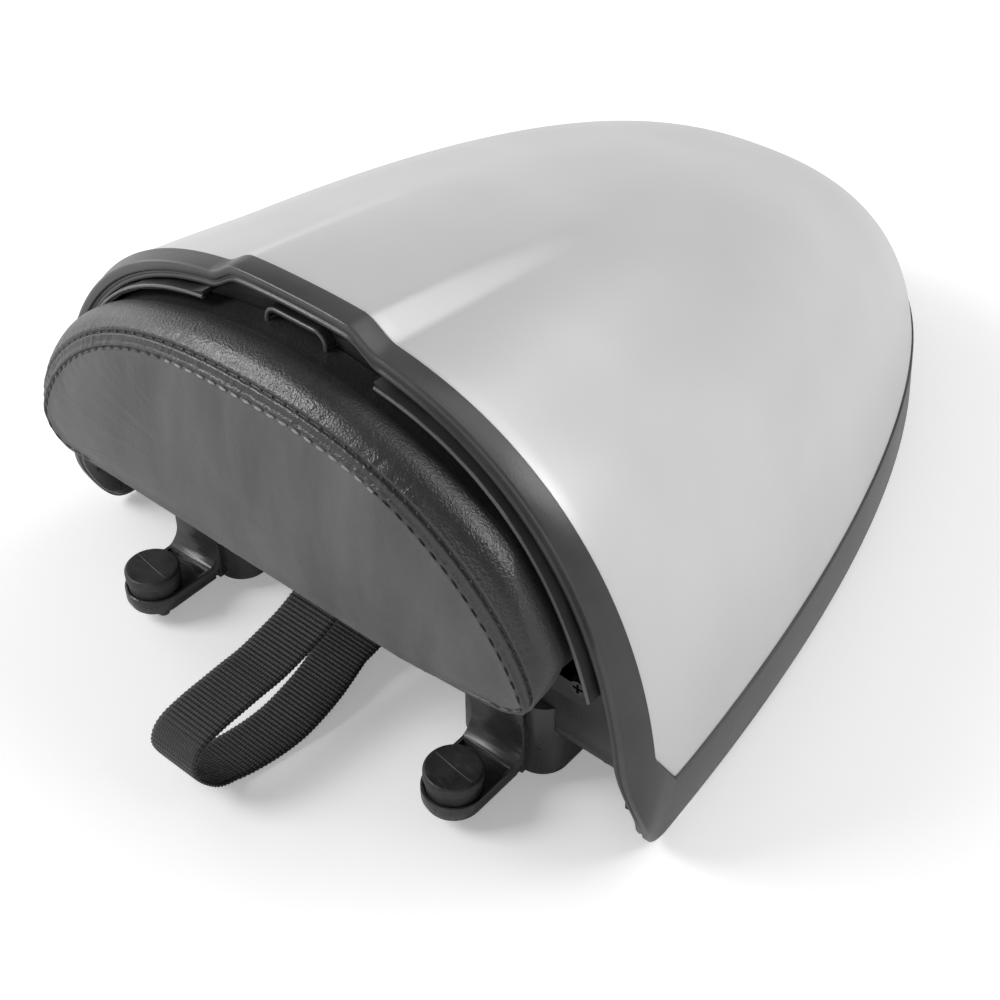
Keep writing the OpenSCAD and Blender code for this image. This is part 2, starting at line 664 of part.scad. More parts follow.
// Front panel of the pad's cover
module pad_panel() color([0.2, 0.2, 0.2])
    loft_solid(concat(
        [for (i = [len(panel_rings) - 1:-1:0]) let (k = panel_rings[i])
            pad_points(0, 0, seam_y + cover_t - crown(k), k)],
        [for (k = panel_rings) pad_points(0, 0, seam_y - crown(k), k)]));

// Side strip of the cover, which bulges from the front seam to the backing plate
module pad_boxing() color([0.11, 0.11, 0.11]) {
    front = seam_y + cover_t + 0.2;
    last = len(boxing_out) - 1;
    skins = concat(
        [for (i = [0:last])
            pad_points(boxing_out[i], -pad_puff * boxing_puff[i], mix(front, pad_back_y, boxing_back[i]))],
        [for (i = [last:-1:0])
            pad_points(boxing_out[i], cover_t - pad_puff * boxing_puff[i],
                       mix(front, pad_back_y, boxing_back[i]))]);
    ring_solid([for (j = [len(skins[0]) - 1:-1:0]) [for (s = skins) s[j]]]);
}

// Foam core
module pad_foam() color([0.55, 0.53, 0.45]) {
    front = seam_y + cover_t + clear;
    gap = cover_t + 2 * clear;
    last = len(boxing_out) - 1;
    loft_solid(concat(
        [for (i = [last:-1:1])
            pad_points(boxing_out[i], gap - pad_puff * boxing_puff[i],
                       mix(front, pad_back_y, boxing_back[i]))],
        [for (k = panel_rings) pad_points(0, gap, front + 0.2 - crown(k), k)]));
}

// Plan of a foot's block, grown by g
module block_plan(g) translate([foot_x - 0.5, block_front + block_l / 2])
    rounded(block_w + 2 * g, block_l + 2 * g, block_r + g);

// Plan of the foot plate, grown by g
module plate_plan(g) {
    translate([foot_x, -buffer_reach]) circle(foot_w / 2 + g);
    translate([foot_x - foot_w / 2 - g, -buffer_reach]) square([foot_w + 2 * g, buffer_reach - 3]);
}

// Foot on the right: hollow block, plate in front of it and the fillet between them
module foot() difference() {
    base = foot_top_h - foot_t;
    plate_step = foot_t - 4.5;
    web_y = block_front - 2.3;
    union() {
        // Block, tall in front of the bulkhead and low under the tray
        translate([0, 0, block_base_h]) linear_extrude(shelf_h - block_base_h) block_plan(0);
        intersection() {
            translate([0, 0, block_base_h]) linear_extrude(block_h - block_base_h) block_plan(0);
            translate([0, -20, 0]) cube([200, 20 + wall_y, 100]);
        }
        // Web between plate and block
        translate([foot_x - foot_w / 2, web_y, base]) cube([foot_w, wall_y - web_y, block_h - base]);
        translate([0, 0, base + plate_step]) linear_extrude(foot_t - plate_step) plate_plan(0);
        translate([0, 0, base]) linear_extrude(plate_step + 0.1) plate_plan(-1);
        // Raised line round the plate
        translate([0, 0, foot_top_h]) linear_extrude(0.7) difference() {
            plate_plan(0);
            plate_plan(-1.2);
        }
        translate([foot_x - foot_w / 2, web_y - foot_fillet, foot_top_h]) difference() {
            cube([foot_w, foot_fillet + 1, foot_fillet]);
            translate([-1, 0, foot_fillet]) rotate([0, 90, 0]) cylinder(r = foot_fillet, h = foot_w + 2);
        }
        // Moulding nub under the plate
        translate([foot_x - 7, -buffer_reach - 3, base - 3]) cylinder(d = 5, h = 3.5);
    }
    // Hollow, open underneath and at the back of the tall part
    translate([0, 0, -1]) linear_extrude(shelf_h - block_wall + 1) block_plan(-block_wall);
    intersection() {
        translate([0, 0, -1]) linear_extrude(block_h - block_wall + 1) block_plan(-block_wall);
        translate([0, -20, 0]) cube([200, 21 + wall_y, 100]);
    }
    translate([foot_x - 0.5 - block_w / 2 + block_wall, wall_y - 1, shelf_h - block_wall - 1])
        cube([block_w - 2 * block_wall, 2, block_h - shelf_h + 1]);
    translate([foot_x, -buffer_reach, -1]) cylinder(d = stem_d + 2 * clear, h = 30);
    for (x = foot_screw_x) translate([x, foot_screw_y, 0]) cylinder(d = hole_d, h = 40);
}

module front_foot_right() color([0.1, 0.1, 0.1]) foot();

module front_foot_left() color([0.1, 0.1, 0.1]) mirror([1, 0, 0]) foot();

// Rubber buffer whose stem snaps through the foot plate and hangs to the standing surface
module front_buffer() {
    base = foot_top_h - foot_t;
    stem_r = stem_d / 2;
    top = foot_top_h + buffer_h;
    r = buffer_d / 2;
    snap_r = stem_r + 0.8;
    rotate_extrude() polygon([[0, 0], [stem_r - 1, 0], [stem_r, 1], [stem_r, base - 3.2],
        [snap_r, base - clear - 1.2],
        [snap_r, base - clear], [stem_r, base - clear], [stem_r, foot_top_h], [r - 1.8, foot_top_h],
        [r - 1.2, foot_top_h + 1], [r - 0.6, top - 5], [r, top - 4.4], [r, top - 1], [r - 1, top], [0, top]]);
}

module front_buffer_right() color([0.07, 0.07, 0.07]) translate([foot_x, -buffer_reach, 0]) front_buffer();

module front_buffer_left() color([0.07, 0.07, 0.07]) translate([-foot_x, -buffer_reach, 0]) front_buffer();

// Rubber buffer under the tray
module rear_buffer() {
    r = rear_buffer_d / 2;
    rotate_extrude() polygon([[0, 0], [r - 2, 0], [r - 0.6, 0.6], [r, 2], [r, rear_buffer_h],
        [stem_d / 2, rear_buffer_h], [stem_d / 2, rear_buffer_h + 7], [0, rear_buffer_h + 7]]);
}

module rear_buffer_right() color([0.07, 0.07, 0.07])
    translate([rear_buffer_gap / 2, rear_buffer_y, 0]) rear_buffer();

module rear_buffer_left() color([0.07, 0.07, 0.07])
    translate([-rear_buffer_gap / 2, rear_buffer_y, 0]) rear_buffer();

// Middle line of the webbing from the upper clamp round the loop to the lower clamp, as distance and height
strap_route = [[5.5, 68], [5.5, 58], [4.6, 51.5], [-2, 46.5], [-11, 43.5], [-19, 40], [-28, 37.5], [-41, 35],
    [-52, 34.5], [-61, 34], [-71, 33.5], [-80, 32], [-85, 29], [-87.5, 24], [-87, 19], [-84, 13], [-78, 6],
    [-70, 2.4], [-62, 1.4], [-54, 1.3], [-46, 1.5], [-38, 2.3], [-28, 4], [-15, 6], [0, 8.5], [14, 11.5],
    [30, 17], [46, 24.5], [56, 28.3], [66, 28.9], [78, 28.9]];
strap_steps = 3;

// Point on the smooth curve through the route, at share u past point i
function route_at(i, u) =
    let (n = len(strap_route) - 1, a = strap_route[max(0, i - 1)], b = strap_route[i],
        c = strap_route[min(n, i + 1)], e = strap_route[min(n, i + 2)])
    b + u * (c - a) / 2 + u * u * (2 * a - 5 * b + 4 * c - e) / 2 + u * u * u * (3 * b - a - 3 * c + e) / 2;

// Pull strap, one length of webbing folded into a loop
module pull_strap() color([0.06, 0.06, 0.06]) {
    line = concat([for (i = [0:len(strap_route) - 2], k = [0:strap_steps - 1]) route_at(i, k / strap_steps)],
        [strap_route[len(strap_route) - 1]]);
    last = len(line) - 1;
    side = [for (i = [0:last]) let (t = line[min(last, i + 1)] - line[max(0, i - 1)])
        [-t[1], t[0]] / norm(t)];
    translate([-strap_w / 2, 0, 0]) rotate([90, 0, 90]) linear_extrude(strap_w)
        polygon(concat([for (i = [0:last]) line[i] + side[i] * strap_t / 2],
            [for (i = [last:-1:0]) line[i] - side[i] * strap_t / 2]));
}

// Plate that clamps the webbing, its two pads towards +Z
module strap_clamp(gap) difference() {
    union() {
        linear_extrude(2) rounded(2 * clamp_x + 10, 12, 3);
        for (side = [-1, 1]) translate([side * clamp_x, 0, 0]) cylinder(d = 8, h = 2 + gap);
    }
    for (side = [-1, 1]) translate([side * clamp_x, 0, -1]) cylinder(d = hole_d, h = 20);
}

module strap_clamp_upper() color([0.2, 0.2, 0.2])
    translate([0, wall_y - strap_t - 2 * clear - 2, upper_clamp_z])
        rotate([-90, 0, 0]) strap_clamp(strap_t + 2 * clear);

module strap_clamp_lower() color([0.2, 0.2, 0.2])
    translate([0, lower_clamp_y, shelf_h - 2.2 - 2]) strap_clamp(0);

module strap_screws() color([0.5, 0.5, 0.5]) for (side = [-1, 1]) {
    translate([side * clamp_x, wall_y - strap_t - 2 * clear - 2, upper_clamp_z])
        rotate([90, 0, 0]) screw(11);
    translate([side * clamp_x, lower_clamp_y, shelf_h - 2.2 - 2]) rotate([180, 0, 0]) screw(11);
}

// Loop under the tail that the seat lock grips
module catch_loop() color([0.75, 0.75, 0.75]) {
    r = 6;
    half = (catch_w + catch_d) / 2;
    at_catch_legs() translate([0, 0, catch_h + r]) cylinder(d = catch_d, h = tray_top + 8 - catch_h - r);
    for (side = [-1, 1]) translate([side * (half - r), catch_y, catch_h + r]) rotate([90, 0, 0])
        rotate(side > 0 ? -90 : 180) rotate_extrude(angle = 90) translate([r, 0]) circle(d = catch_d);
    translate([-half + r, catch_y, catch_h]) rotate([0, 90, 0]) cylinder(d = catch_d, h = 2 * (half - r));
}

module catch_nuts() color([0.7, 0.7, 0.7]) at_catch_legs() for (z = [shelf_h - 9, tray_top])
    translate([0, 0, z]) difference() {
        cylinder(d = 11.5, h = 5, $fn = 6);
        translate([0, 0, -1]) cylinder(d = catch_d + 0.2, h = 10);
    }

module tray_screws() color([0.4, 0.4, 0.4]) at_tray_screws() screw(7);

module bulkhead_screws() color([0.4, 0.4, 0.4]) {
    at_rim_screws() screw(6.5);
    at_wall_screws() screw(12);
}

module backing_screws() color([0.2, 0.2, 0.2]) {
    at_backing_front() screw(19);
    at_backing_rear() screw(12);
}

module foot_screws() color([0.4, 0.4, 0.4]) at_foot_screws() screw(13);

// Distance from the rim plane back to the middle of the footprint
mid_y = 142;

// Moves a piece so that the origin is the middle of the footprint
module placed() translate([0, -mid_y, 0]) children();

placed() cowl_shell();
placed() cowl_frame();
placed() base_tray();
placed() bulkhead();
placed() backing_plate();
placed() pad_panel();
placed() pad_boxing();
placed() pad_foam();
placed() front_foot_left();
placed() front_foot_right();
placed() front_buffer_left();
placed() front_buffer_right();
placed() rear_buffer_left();
placed() rear_buffer_right();
placed() pull_strap();
placed() strap_clamp_upper();
placed() strap_clamp_lower();
placed() strap_screws();
placed() catch_loop();
placed() catch_nuts();
placed() tray_screws();
placed() bulkhead_screws();
placed() backing_screws();
placed() foot_screws();
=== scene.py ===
import math
from functools import lru_cache

import bmesh
import bpy
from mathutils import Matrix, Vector, noise
from mathutils.bvhtree import BVHTree


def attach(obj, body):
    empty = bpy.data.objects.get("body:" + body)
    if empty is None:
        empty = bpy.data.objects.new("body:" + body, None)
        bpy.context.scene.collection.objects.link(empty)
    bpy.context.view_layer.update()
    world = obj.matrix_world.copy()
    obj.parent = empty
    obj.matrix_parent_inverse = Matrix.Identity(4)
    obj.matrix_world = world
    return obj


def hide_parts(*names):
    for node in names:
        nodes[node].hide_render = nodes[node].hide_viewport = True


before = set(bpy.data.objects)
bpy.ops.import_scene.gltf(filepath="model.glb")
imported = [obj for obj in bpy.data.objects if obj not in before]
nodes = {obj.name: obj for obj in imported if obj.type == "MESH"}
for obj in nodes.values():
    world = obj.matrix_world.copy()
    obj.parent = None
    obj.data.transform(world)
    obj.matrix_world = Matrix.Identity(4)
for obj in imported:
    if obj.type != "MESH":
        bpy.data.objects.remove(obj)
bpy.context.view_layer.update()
print("frame loaded,", len(nodes), "nodes")

# Shapes are worked out in millimetres behind the rim plane and placed in the row's frame
midY = 142


def place(x, y, z):
    return Vector((x, y - midY, z)) / 1000


def addObject(name, data):
    obj = bpy.data.objects.new(name, data)
    bpy.context.scene.collection.objects.link(obj)
    return obj


# The mesh that an object's modifiers or curve give
def resultOf(obj):
    return bpy.data.meshes.new_from_object(obj.evaluated_get(bpy.context.evaluated_depsgraph_get()))


# Camera and light: eye in millimetres, lamps in metres, watts and metres across
view = dict(eye=(336.3, -303.3, 481.7), azimuth=39.82, elevation=41.19, lens=57.6, sensor=36)
lampAim = Vector((0, 0, 0.08))
lights = [
    dict(name="left", at=(-0.92, -0.95, 1.1), power=15, size=0.7),
    dict(name="right", at=(1.2, 0.75, 1.35), power=11, size=0.8),
    dict(name="top", at=(0.35, 0.95, 1.7), power=6, size=1.0),
    dict(name="side", at=(-1.75, -0.1, 0.6), power=5.5, size=1.1),
    dict(name="front", at=(0.7, -1.7, 0.6), power=2.5, size=1.0),
]
sky = dict(horizon=1.0, zenith=0.22, rise=0.52)

scene = bpy.context.scene
scene.view_settings.view_transform = "Standard"
a, e = math.radians(view["azimuth"]), math.radians(view["elevation"])
back = Vector((math.sin(a) * math.cos(e), -math.cos(a) * math.cos(e), math.sin(e)))
cameraData = bpy.data.cameras.new("camera")
cameraData.lens = view["lens"]
cameraData.sensor_width = view["sensor"]
camera = addObject("camera", cameraData)
camera.location = place(*view["eye"])
camera.rotation_euler = (-back).to_track_quat("-Z", "Y").to_euler()
scene.camera = camera

for spec in lights:
    data = bpy.data.lights.new(spec["name"], "AREA")
    data.energy = spec["power"]
    data.size = spec["size"]
    lamp = addObject(spec["name"], data)
    lamp.location = spec["at"]
    lamp.rotation_euler = (lampAim - lamp.location).to_track_quat("-Z", "Y").to_euler()

# Sky: white at the horizon, as a pale studio is, and darker overhead
world = bpy.data.worlds.new("world")
world.use_nodes = True
worldNodes = world.node_tree.nodes
worldNodes["Background"].inputs[0].default_value = (1, 1, 1, 1)
direction = worldNodes.new("ShaderNodeTexCoord")
split = worldNodes.new("ShaderNodeSeparateXYZ")
fall = worldNodes.new("ShaderNodeMapRange")
fall.interpolation_type = "SMOOTHSTEP"
fallInputs = {"From Min": 0, "From Max": sky["rise"], "To Min": sky["horizon"], "To Max": sky["zenith"]}
for socket, value in fallInputs.items():
    fall.inputs[socket].default_value = value
world.node_tree.links.new(direction.outputs["Generated"], split.inputs[0])
world.node_tree.links.new(split.outputs["Z"], fall.inputs["Value"])
world.node_tree.links.new(fall.outputs["Result"], worldNodes["Background"].inputs[1])
scene.world = world
print("camera and lights set")


# Materials
def addNode(tree, kind, inputs=None, **settings):
    n = tree.nodes.new(kind)
    for key, value in settings.items():
        setattr(n, key, value)
    for key, value in (inputs or {}).items():
        if isinstance(value, bpy.types.NodeSocket):
            tree.links.new(value, n.inputs[key])
        else:
            n.inputs[key].default_value = value
    return n


def startMaterial(name, **constants):
    mat = bpy.data.materials.new(name)
    mat.use_nodes = True
    tree = mat.node_tree
    shader = tree.nodes["Principled BSDF"]
    for key, value in constants.items():
        shader.inputs[key.replace("_", " ")].default_value = value
    coords = addNode(tree, "ShaderNodeTexCoord").outputs["Object"]
    return mat, tree, shader, coords


def noiseOf(tree, coords, scale, detail=3, rough=0.55, stretch=None, distortion=0):
    if stretch:
        coords = addNode(tree, "ShaderNodeMapping", {"Vector": coords, "Scale": stretch}).outputs[0]
    return addNode(tree, "ShaderNodeTexNoise", {"Vector": coords, "Scale": scale, "Detail": detail,
                   "Roughness": rough, "Distortion": distortion}).outputs[0]


def rampOf(tree, value, stops):
    n = addNode(tree, "ShaderNodeValToRGB", {"Fac": value})
    ramp = n.color_ramp
    while len(ramp.elements) < len(stops):
        ramp.elements.new(0.5)
    for element, (at, c) in zip(ramp.elements, stops):
        element.position = at
        element.color = (*c, 1) if isinstance(c, tuple) else (c, c, c, 1)
    return n.outputs[0]


def rangeOf(tree, value, low, high, fromLow=0.3, fromHigh=0.7):
    return addNode(tree, "ShaderNodeMapRange", {"Value": value, "From Min": fromLow, "From Max": fromHigh,
                   "To Min": low, "To Max": high}).outputs[0]


def addUp(tree, first, second, operation="ADD"):
    return addNode(tree, "ShaderNodeMath", {0: first, 1: second}, operation=operation).outputs[0]


def bumpOf(tree, height, distance, strength=1.0, normal=None):
    inputs = {"Height": height, "Distance": distance, "Strength": strength}
    if normal:
        inputs["Normal"] = normal
    return addNode(tree, "ShaderNodeBump", inputs).outputs[0]


def finishMaterial(mat, shader, color, rough, normal):
    for name, value in (("Base Color", color), ("Roughness", rough), ("Normal", normal)):
        mat.node_tree.links.new(value, shader.inputs[name])
    return mat


def paintMaterial(name, light, dark, rough, metal):
    mat, tree, shader, coords = startMaterial(name, Metallic=metal, Coat_Weight=0.25, Coat_Roughness=0.22)
    clouds = noiseOf(tree, coords, 14, 2)
    flakes = addNode(tree, "ShaderNodeTexVoronoi", {"Vector": coords, "Scale": 2600}).outputs["Distance"]
    peel = noiseOf(tree, coords, 420, 2)
    color = rampOf(tree, clouds, [(0.3, dark), (0.7, light)])
    roughness = rangeOf(tree, flakes, rough - 0.04, rough + 0.06, 0, 0.8)
    return finishMaterial(mat, shader, color, roughness, bumpOf(tree, peel, 0.00004, 0.35))


def mouldingMaterial(name, dark, light, rough):
    mat, tree, shader, coords = startMaterial(name)
    patches = noiseOf(tree, coords, 26, 4)
    grains = noiseOf(tree, coords, 1500, 2, 0.6)
    scratches = noiseOf(tree, coords, 90, 3, 0.6, (1, 14, 3), 0.6)
    color = rampOf(tree, patches, [(0.35, dark), (0.68, light)])
    roughness = addUp(tree, rangeOf(tree, patches, rough - 0.06, rough + 0.05),
                      rangeOf(tree, scratches, 0, 0.08, 0.55, 0.75))
    return finishMaterial(mat, shader, color, roughness, bumpOf(tree, grains, 0.00006, 0.6))


def leatherMaterial(name, dark, light, rough, grain, crease, shine=0.5):
    mat, tree, shader, coords = startMaterial(name, Sheen_Weight=0.05, Sheen_Roughness=0.5,
                                              Specular_IOR_Level=shine)
    wobble = addNode(tree, "ShaderNodeTexNoise", {"Vector": coords, "Scale": 150, "Detail": 3}).outputs["Color"]
    bent = addNode(tree, "ShaderNodeMixRGB", {"Fac": 0.006, "Color1": coords, "Color2": wobble},
                   blend_type="ADD").outputs[0]
    pores = addNode(tree, "ShaderNodeTexVoronoi", {"Vector": bent, "Scale": 1000}).outputs["Distance"]
    cells = addNode(tree, "ShaderNodeTexVoronoi", {"Vector": bent, "Scale": 880},
                    feature="DISTANCE_TO_EDGE").outputs["Distance"]
    lines = rangeOf(tree, cells, 0, 1, 0, 0.3)
    where = rangeOf(tree, noiseOf(tree, coords, 26, 3, 0.6), 0.12, 1, 0.42, 0.66)
    crinkles = addUp(tree, lines, where, "MULTIPLY")
    fine = noiseOf(tree, coords, 2400, 2)
    patches = noiseOf(tree, coords, 22, 4, 0.6, (1.6, 1, 0.5))
    color = rampOf(tree, patches, [(0.3, dark), (0.72, light)])
    roughness = addUp(tree, rangeOf(tree, patches, rough - 0.04, rough + 0.06),
                      rangeOf(tree, pores, 0.05, -0.02, 0.1, 0.7))
    grained = bumpOf(tree, addUp(tree, pores, addUp(tree, fine, 0.35, "MULTIPLY")), grain, 0.5)
    normal = bumpOf(tree, crinkles, crease, 0.6, grained)
    return finishMaterial(mat, shader, color, roughness, normal)


def rubberMaterial(name, dark, light, rough):
    mat, tree, shader, coords = startMaterial(name, Specular_IOR_Level=0.4)
    dust = noiseOf(tree, coords, 70, 5, 0.65)
    scuffs = noiseOf(tree, coords, 120, 4, 0.6, (1, 5, 2), 1.5)
    marks = rangeOf(tree, scuffs, 0, 0.3, 0.58, 0.72)
    color = rampOf(tree, addUp(tree, dust, marks), [(0.4, dark), (0.9, light)])
    roughness = addUp(tree, rangeOf(tree, dust, rough - 0.08, rough + 0.08), marks)
    normal = bumpOf(tree, noiseOf(tree, coords, 900, 3), 0.00012, 0.5)
    return finishMaterial(mat, shader, color, roughness, normal)


def webbingMaterial(name, dark, light):
    mat, tree, shader, coords = startMaterial(name, Sheen_Weight=0.22, Sheen_Roughness=0.45)
    yarns = addNode(tree, "ShaderNodeTexWave", {"Vector": coords, "Scale": 260, "Distortion": 1.2, "Detail": 2},
                    wave_type="BANDS", bands_direction="X").outputs[0]
    fuzz = noiseOf(tree, coords, 1900, 3)
    color = rampOf(tree, addUp(tree, yarns, fuzz, "MULTIPLY"), [(0.1, dark), (0.75, light)])
    normal = bumpOf(tree, addUp(tree, yarns, fuzz), 0.00016, 0.7)
    return finishMaterial(mat, shader, color, rangeOf(tree, fuzz, 0.5, 0.72), normal)


def threadMaterial(name, dark, light):
    mat, tree, shader, coords = startMaterial(name, Sheen_Weight=0.4)
    twist = addNode(tree, "ShaderNodeTexWave", {"Vector": coords, "Scale": 900, "Distortion": 0.6},
                    wave_type="BANDS", bands_direction="DIAGONAL").outputs[0]
    color = rampOf(tree, twist, [(0.2, dark), (0.8, light)])
    return finishMaterial(mat, shader, color, rangeOf(tree, twist, 0.5, 0.7), bumpOf(tree, twist, 0.0001, 0.6))


def metalMaterial(name, dark, light, rough):
    mat, tree, shader, coords = startMaterial(name, Metallic=1.0)
    brushed = noiseOf(tree, coords, 300, 3, 0.6, (1, 1, 9))
    spots = noiseOf(tree, coords, 60, 5, 0.7)
    color = rampOf(tree, spots, [(0.35, dark), (0.65, light)])
    return finishMaterial(mat, shader, color, rangeOf(tree, brushed, rough - 0.08, rough + 0.1),
                          bumpOf(tree, brushed, 0.00003, 0.5))


def foamMaterial(name, dark, light):
    mat, tree, shader, coords = startMaterial(name)
    cells = addNode(tree, "ShaderNodeTexVoronoi", {"Vector": coords, "Scale": 1100}).outputs["Distance"]
    color = rampOf(tree, cells, [(0.1, dark), (0.7, light)])
    roughness = rangeOf(tree, cells, 0.8, 0.95, 0, 0.8)
    return finishMaterial(mat, shader, color, roughness, bumpOf(tree, cells, 0.0003, 0.8))


silver = paintMaterial("silver_paint", 0.71, 0.66, 0.36, 0.3)
moulding = mouldingMaterial("black_moulding", 0.023, 0.039, 0.3)
# Darker copy of the black moulding for the backing plate: painted shade for the plate lying behind the rim
shadedPlateMoulding = mouldingMaterial("plate_moulding_painted_shade", 0.006, 0.011, 0.5)
# Paler copy of the black moulding for the edge beads on the plate's lip and tab: a painted highlight along those
# edges
highlightEdgeMoulding = mouldingMaterial("edge_moulding_painted_highlight", 0.09, 0.13, 0.28)
rimMoulding = mouldingMaterial("rim_moulding", 0.044, 0.066, 0.33)
panelLeather = leatherMaterial("panel_leather", 0.052, 0.112, 0.5, 0.00014, 0.00005)
boxingLeather = leatherMaterial("boxing_leather", 0.009, 0.016, 0.37, 0.00026, 0.000022, 0.78)
rubber = rubberMaterial("black_rubber", 0.02, 0.06, 0.46)
# Paler rubber for the buffers' parting line: a painted highlight along the ridge
partingHighlightRubber = rubberMaterial("rubber_painted_highlight", 0.06, 0.12, 0.42)
webbing = webbingMaterial("webbing", 0.005, 0.017)
thread = threadMaterial("light_thread", 0.17, 0.36)
# Dark thread for the edge seam's ends and the seam's holes: painted shade
paintedShadeThread = threadMaterial("thread_painted_shade", 0.008, 0.02)
zinc = metalMaterial("zinc_steel", 0.55, 0.72, 0.34)
blackSteel = metalMaterial("black_steel", 0.05, 0.09, 0.42)
foam = foamMaterial("foam", (0.32, 0.3, 0.22), (0.5, 0.47, 0.36))
print("materials made")


# Dome formulas, the same as the CAD's but for the squarer outline at the rim
dome = dict(halfWidth=155, length=372, height=180, squareness=2.4, squareFront=2.5, squareFade=60,
            planFront=1.61, planTail=2.32, ridgeFront=2.63, ridgeTail=1.76, ridgeDip=0.2,
            stripRise=5.4, stripHalf=26, stripSlope=14, stripFade=150, slopeOver=6, slopeUnder=5, columnEase=1.25)


def ease(v):
    u = min(1, max(0, v))
    return u * u * (3 - 2 * u)


def mix(low, high, v):
    return low + (high - low) * v


@lru_cache(maxsize=None)
def planHalf(y, d):
    t = min(1, max(0, y / (dome["length"] - d)))
    return (dome["halfWidth"] - d) * (1 - t ** dome["planFront"]) ** (1 / dome["planTail"])


@lru_cache(maxsize=None)
def ridge(y, d):
    t = min(1, max(0, y / (dome["length"] - d)))
    fall = (1 - t ** dome["ridgeFront"]) ** (1 / dome["ridgeTail"])
    return (dome["height"] - d) * fall * (1 - dome["ridgeDip"] * t * (1 - t))


def stripRise(x, y):
    across = 1 - ease((abs(x) - dome["stripHalf"]) / dome["stripSlope"])
    return dome["stripRise"] * across * (1 - ease(y / dome["stripFade"]))


def edgeHeight(z, rise, y):
    return z + rise * max(0, y) / dome["length"]


@lru_cache(maxsize=None)
def ridgeEnd(z, rise, d):
    low, high = 0, 1
    for _ in range(26):
        mid = (low + high) / 2
        y = mid * (dome["length"] - d)
        if ridge(y, d) > edgeHeight(z, rise, y):
            low = mid
        else:
            high = mid
    return (low + high) / 2 * (dome["length"] - d)


def squarenessAt(y):
    return mix(dome["squareFront"], dome["squareness"], ease(y / dome["squareFade"]))


def domeAt(y, angle, d, squareness=None):
    power = 2 / (squareness or squarenessAt(y))
    c = math.cos(angle)
    x = planHalf(y, d) * math.copysign(abs(c) ** power, c)
    return (x, y, ridge(y, d) * abs(math.sin(angle)) ** power + stripRise(x, y))


def angleAt(y, z, d):
    top = ridge(y, d)
    if top <= z:
        return math.pi / 2
    return math.asin((z / top) ** (squarenessAt(y) / 2))


def halfAt(y, z, d, power):
    top = ridge(y, d)
    if top <= z:
        return 0
    return planHalf(y, d) * (1 - (z / top) ** power) ** (1 / power)


def angleOf(q, foot):
    if q <= 1:
        return foot + (math.pi / 2 - foot) * q
    return math.pi - foot - (math.pi / 2 - foot) * (2 - q)


# Columns over the dome, closer together on the strip's slopes
def columnShares(sideSteps, slopeSteps, topSteps):
    reach = dome["squareness"] / 2
    low = dome["stripHalf"] + dome["stripSlope"] + dome["slopeOver"]
    high = dome["stripHalf"] - dome["slopeUnder"]
    start, stop = (math.acos((x / dome["halfWidth"]) ** reach) / (math.pi / 2) for x in (low, high))
    half = [start * (k / sideSteps) ** dome["columnEase"] for k in range(sideSteps)]
    half += [mix(start, stop, k / slopeSteps) for k in range(slopeSteps)]
    half += [mix(stop, 1, k / topSteps) for k in range(topSteps + 1)]
    return half + [2 - q for q in reversed(half[:-1])]


# Plate, lip and pad back are a little fuller at the shoulders
shoulder = dict(swell=4.5, centreHeight=75, angle=math.radians(40), spread=math.radians(28), innerShare=0.75,
                outerShare=0.88)


def shoulderSwell(x, z):
    turned = math.atan2(z - shoulder["centreHeight"], abs(x) + 1e-6)
    return shoulder["swell"] * math.exp(-((turned - shoulder["angle"]) / shoulder["spread"]) ** 2)


def swollen(x, z, share):
    far = math.hypot(x, z - shoulder["centreHeight"]) + 1e-6
    out = share * shoulderSwell(x, z) / far
    return (x * (1 + out), z + (z - shoulder["centreHeight"]) * out)


def makeObject(name, points, faces, materials, faceMaterial=None):
    mesh = bpy.data.meshes.new(name)
    mesh.from_pydata([tuple(p) for p in points], [], faces)
    mesh.update()
    bm = bmesh.new()
    bm.from_mesh(mesh)
    bmesh.ops.recalc_face_normals(bm, faces=bm.faces)
    bm.to_mesh(mesh)
    bm.free()
    for m in materials:
        mesh.materials.append(m)
    if faceMaterial:
        for polygon, index in zip(mesh.polygons, faceMaterial):
            polygon.material_index = index
    mesh.shade_smooth()
    return addObject(name, mesh)


# Faces between rows of equal length
def gridFaces(rowCount, width, closedRows=False, closedColumns=False):
    faces = []
    for i in range(rowCount if closedRows else rowCount - 1):
        for k in range(width if closedColumns else width - 1):
            nextRow, nextColumn = (i + 1) % rowCount, (k + 1) % width
            faces.append((i * width + k, i * width + nextColumn,
                          nextRow * width + nextColumn, nextRow * width + k))
    return faces


# Painted shell: outer and inner skin with a rounded edge
shell = dict(wall=2.6, seamHeight=37, seamRise=3, cornerHeight=57, cornerBack=12, clear=0.3,
             edge=[(0, 0.8), (0.1, 0.3), (0.35, 0.08), (0.9, 0)], rows=84, rowsShort=0.7, columns=(52, 20, 6))


def cornerCut(z):
    share = (shell["cornerHeight"] - z) / (shell["cornerHeight"] - shell["seamHeight"])
    return shell["cornerBack"] * min(1, max(0, share))


def shellPoint(s, q, d, backBy, upBy):
    seam, rise = shell["seamHeight"], shell["seamRise"]
    end = ridgeEnd(seam, rise, d)
    z = domeAt(0, angleOf(q, angleAt(0, seam, d)), d)[2]
    front = shell["clear"] + cornerCut(z) + backBy
    y = front + (end - front) * s
    foot = angleAt(y, edgeHeight(seam, rise, y) + upBy, d)
    return domeAt(y, angleOf(q, foot), d)


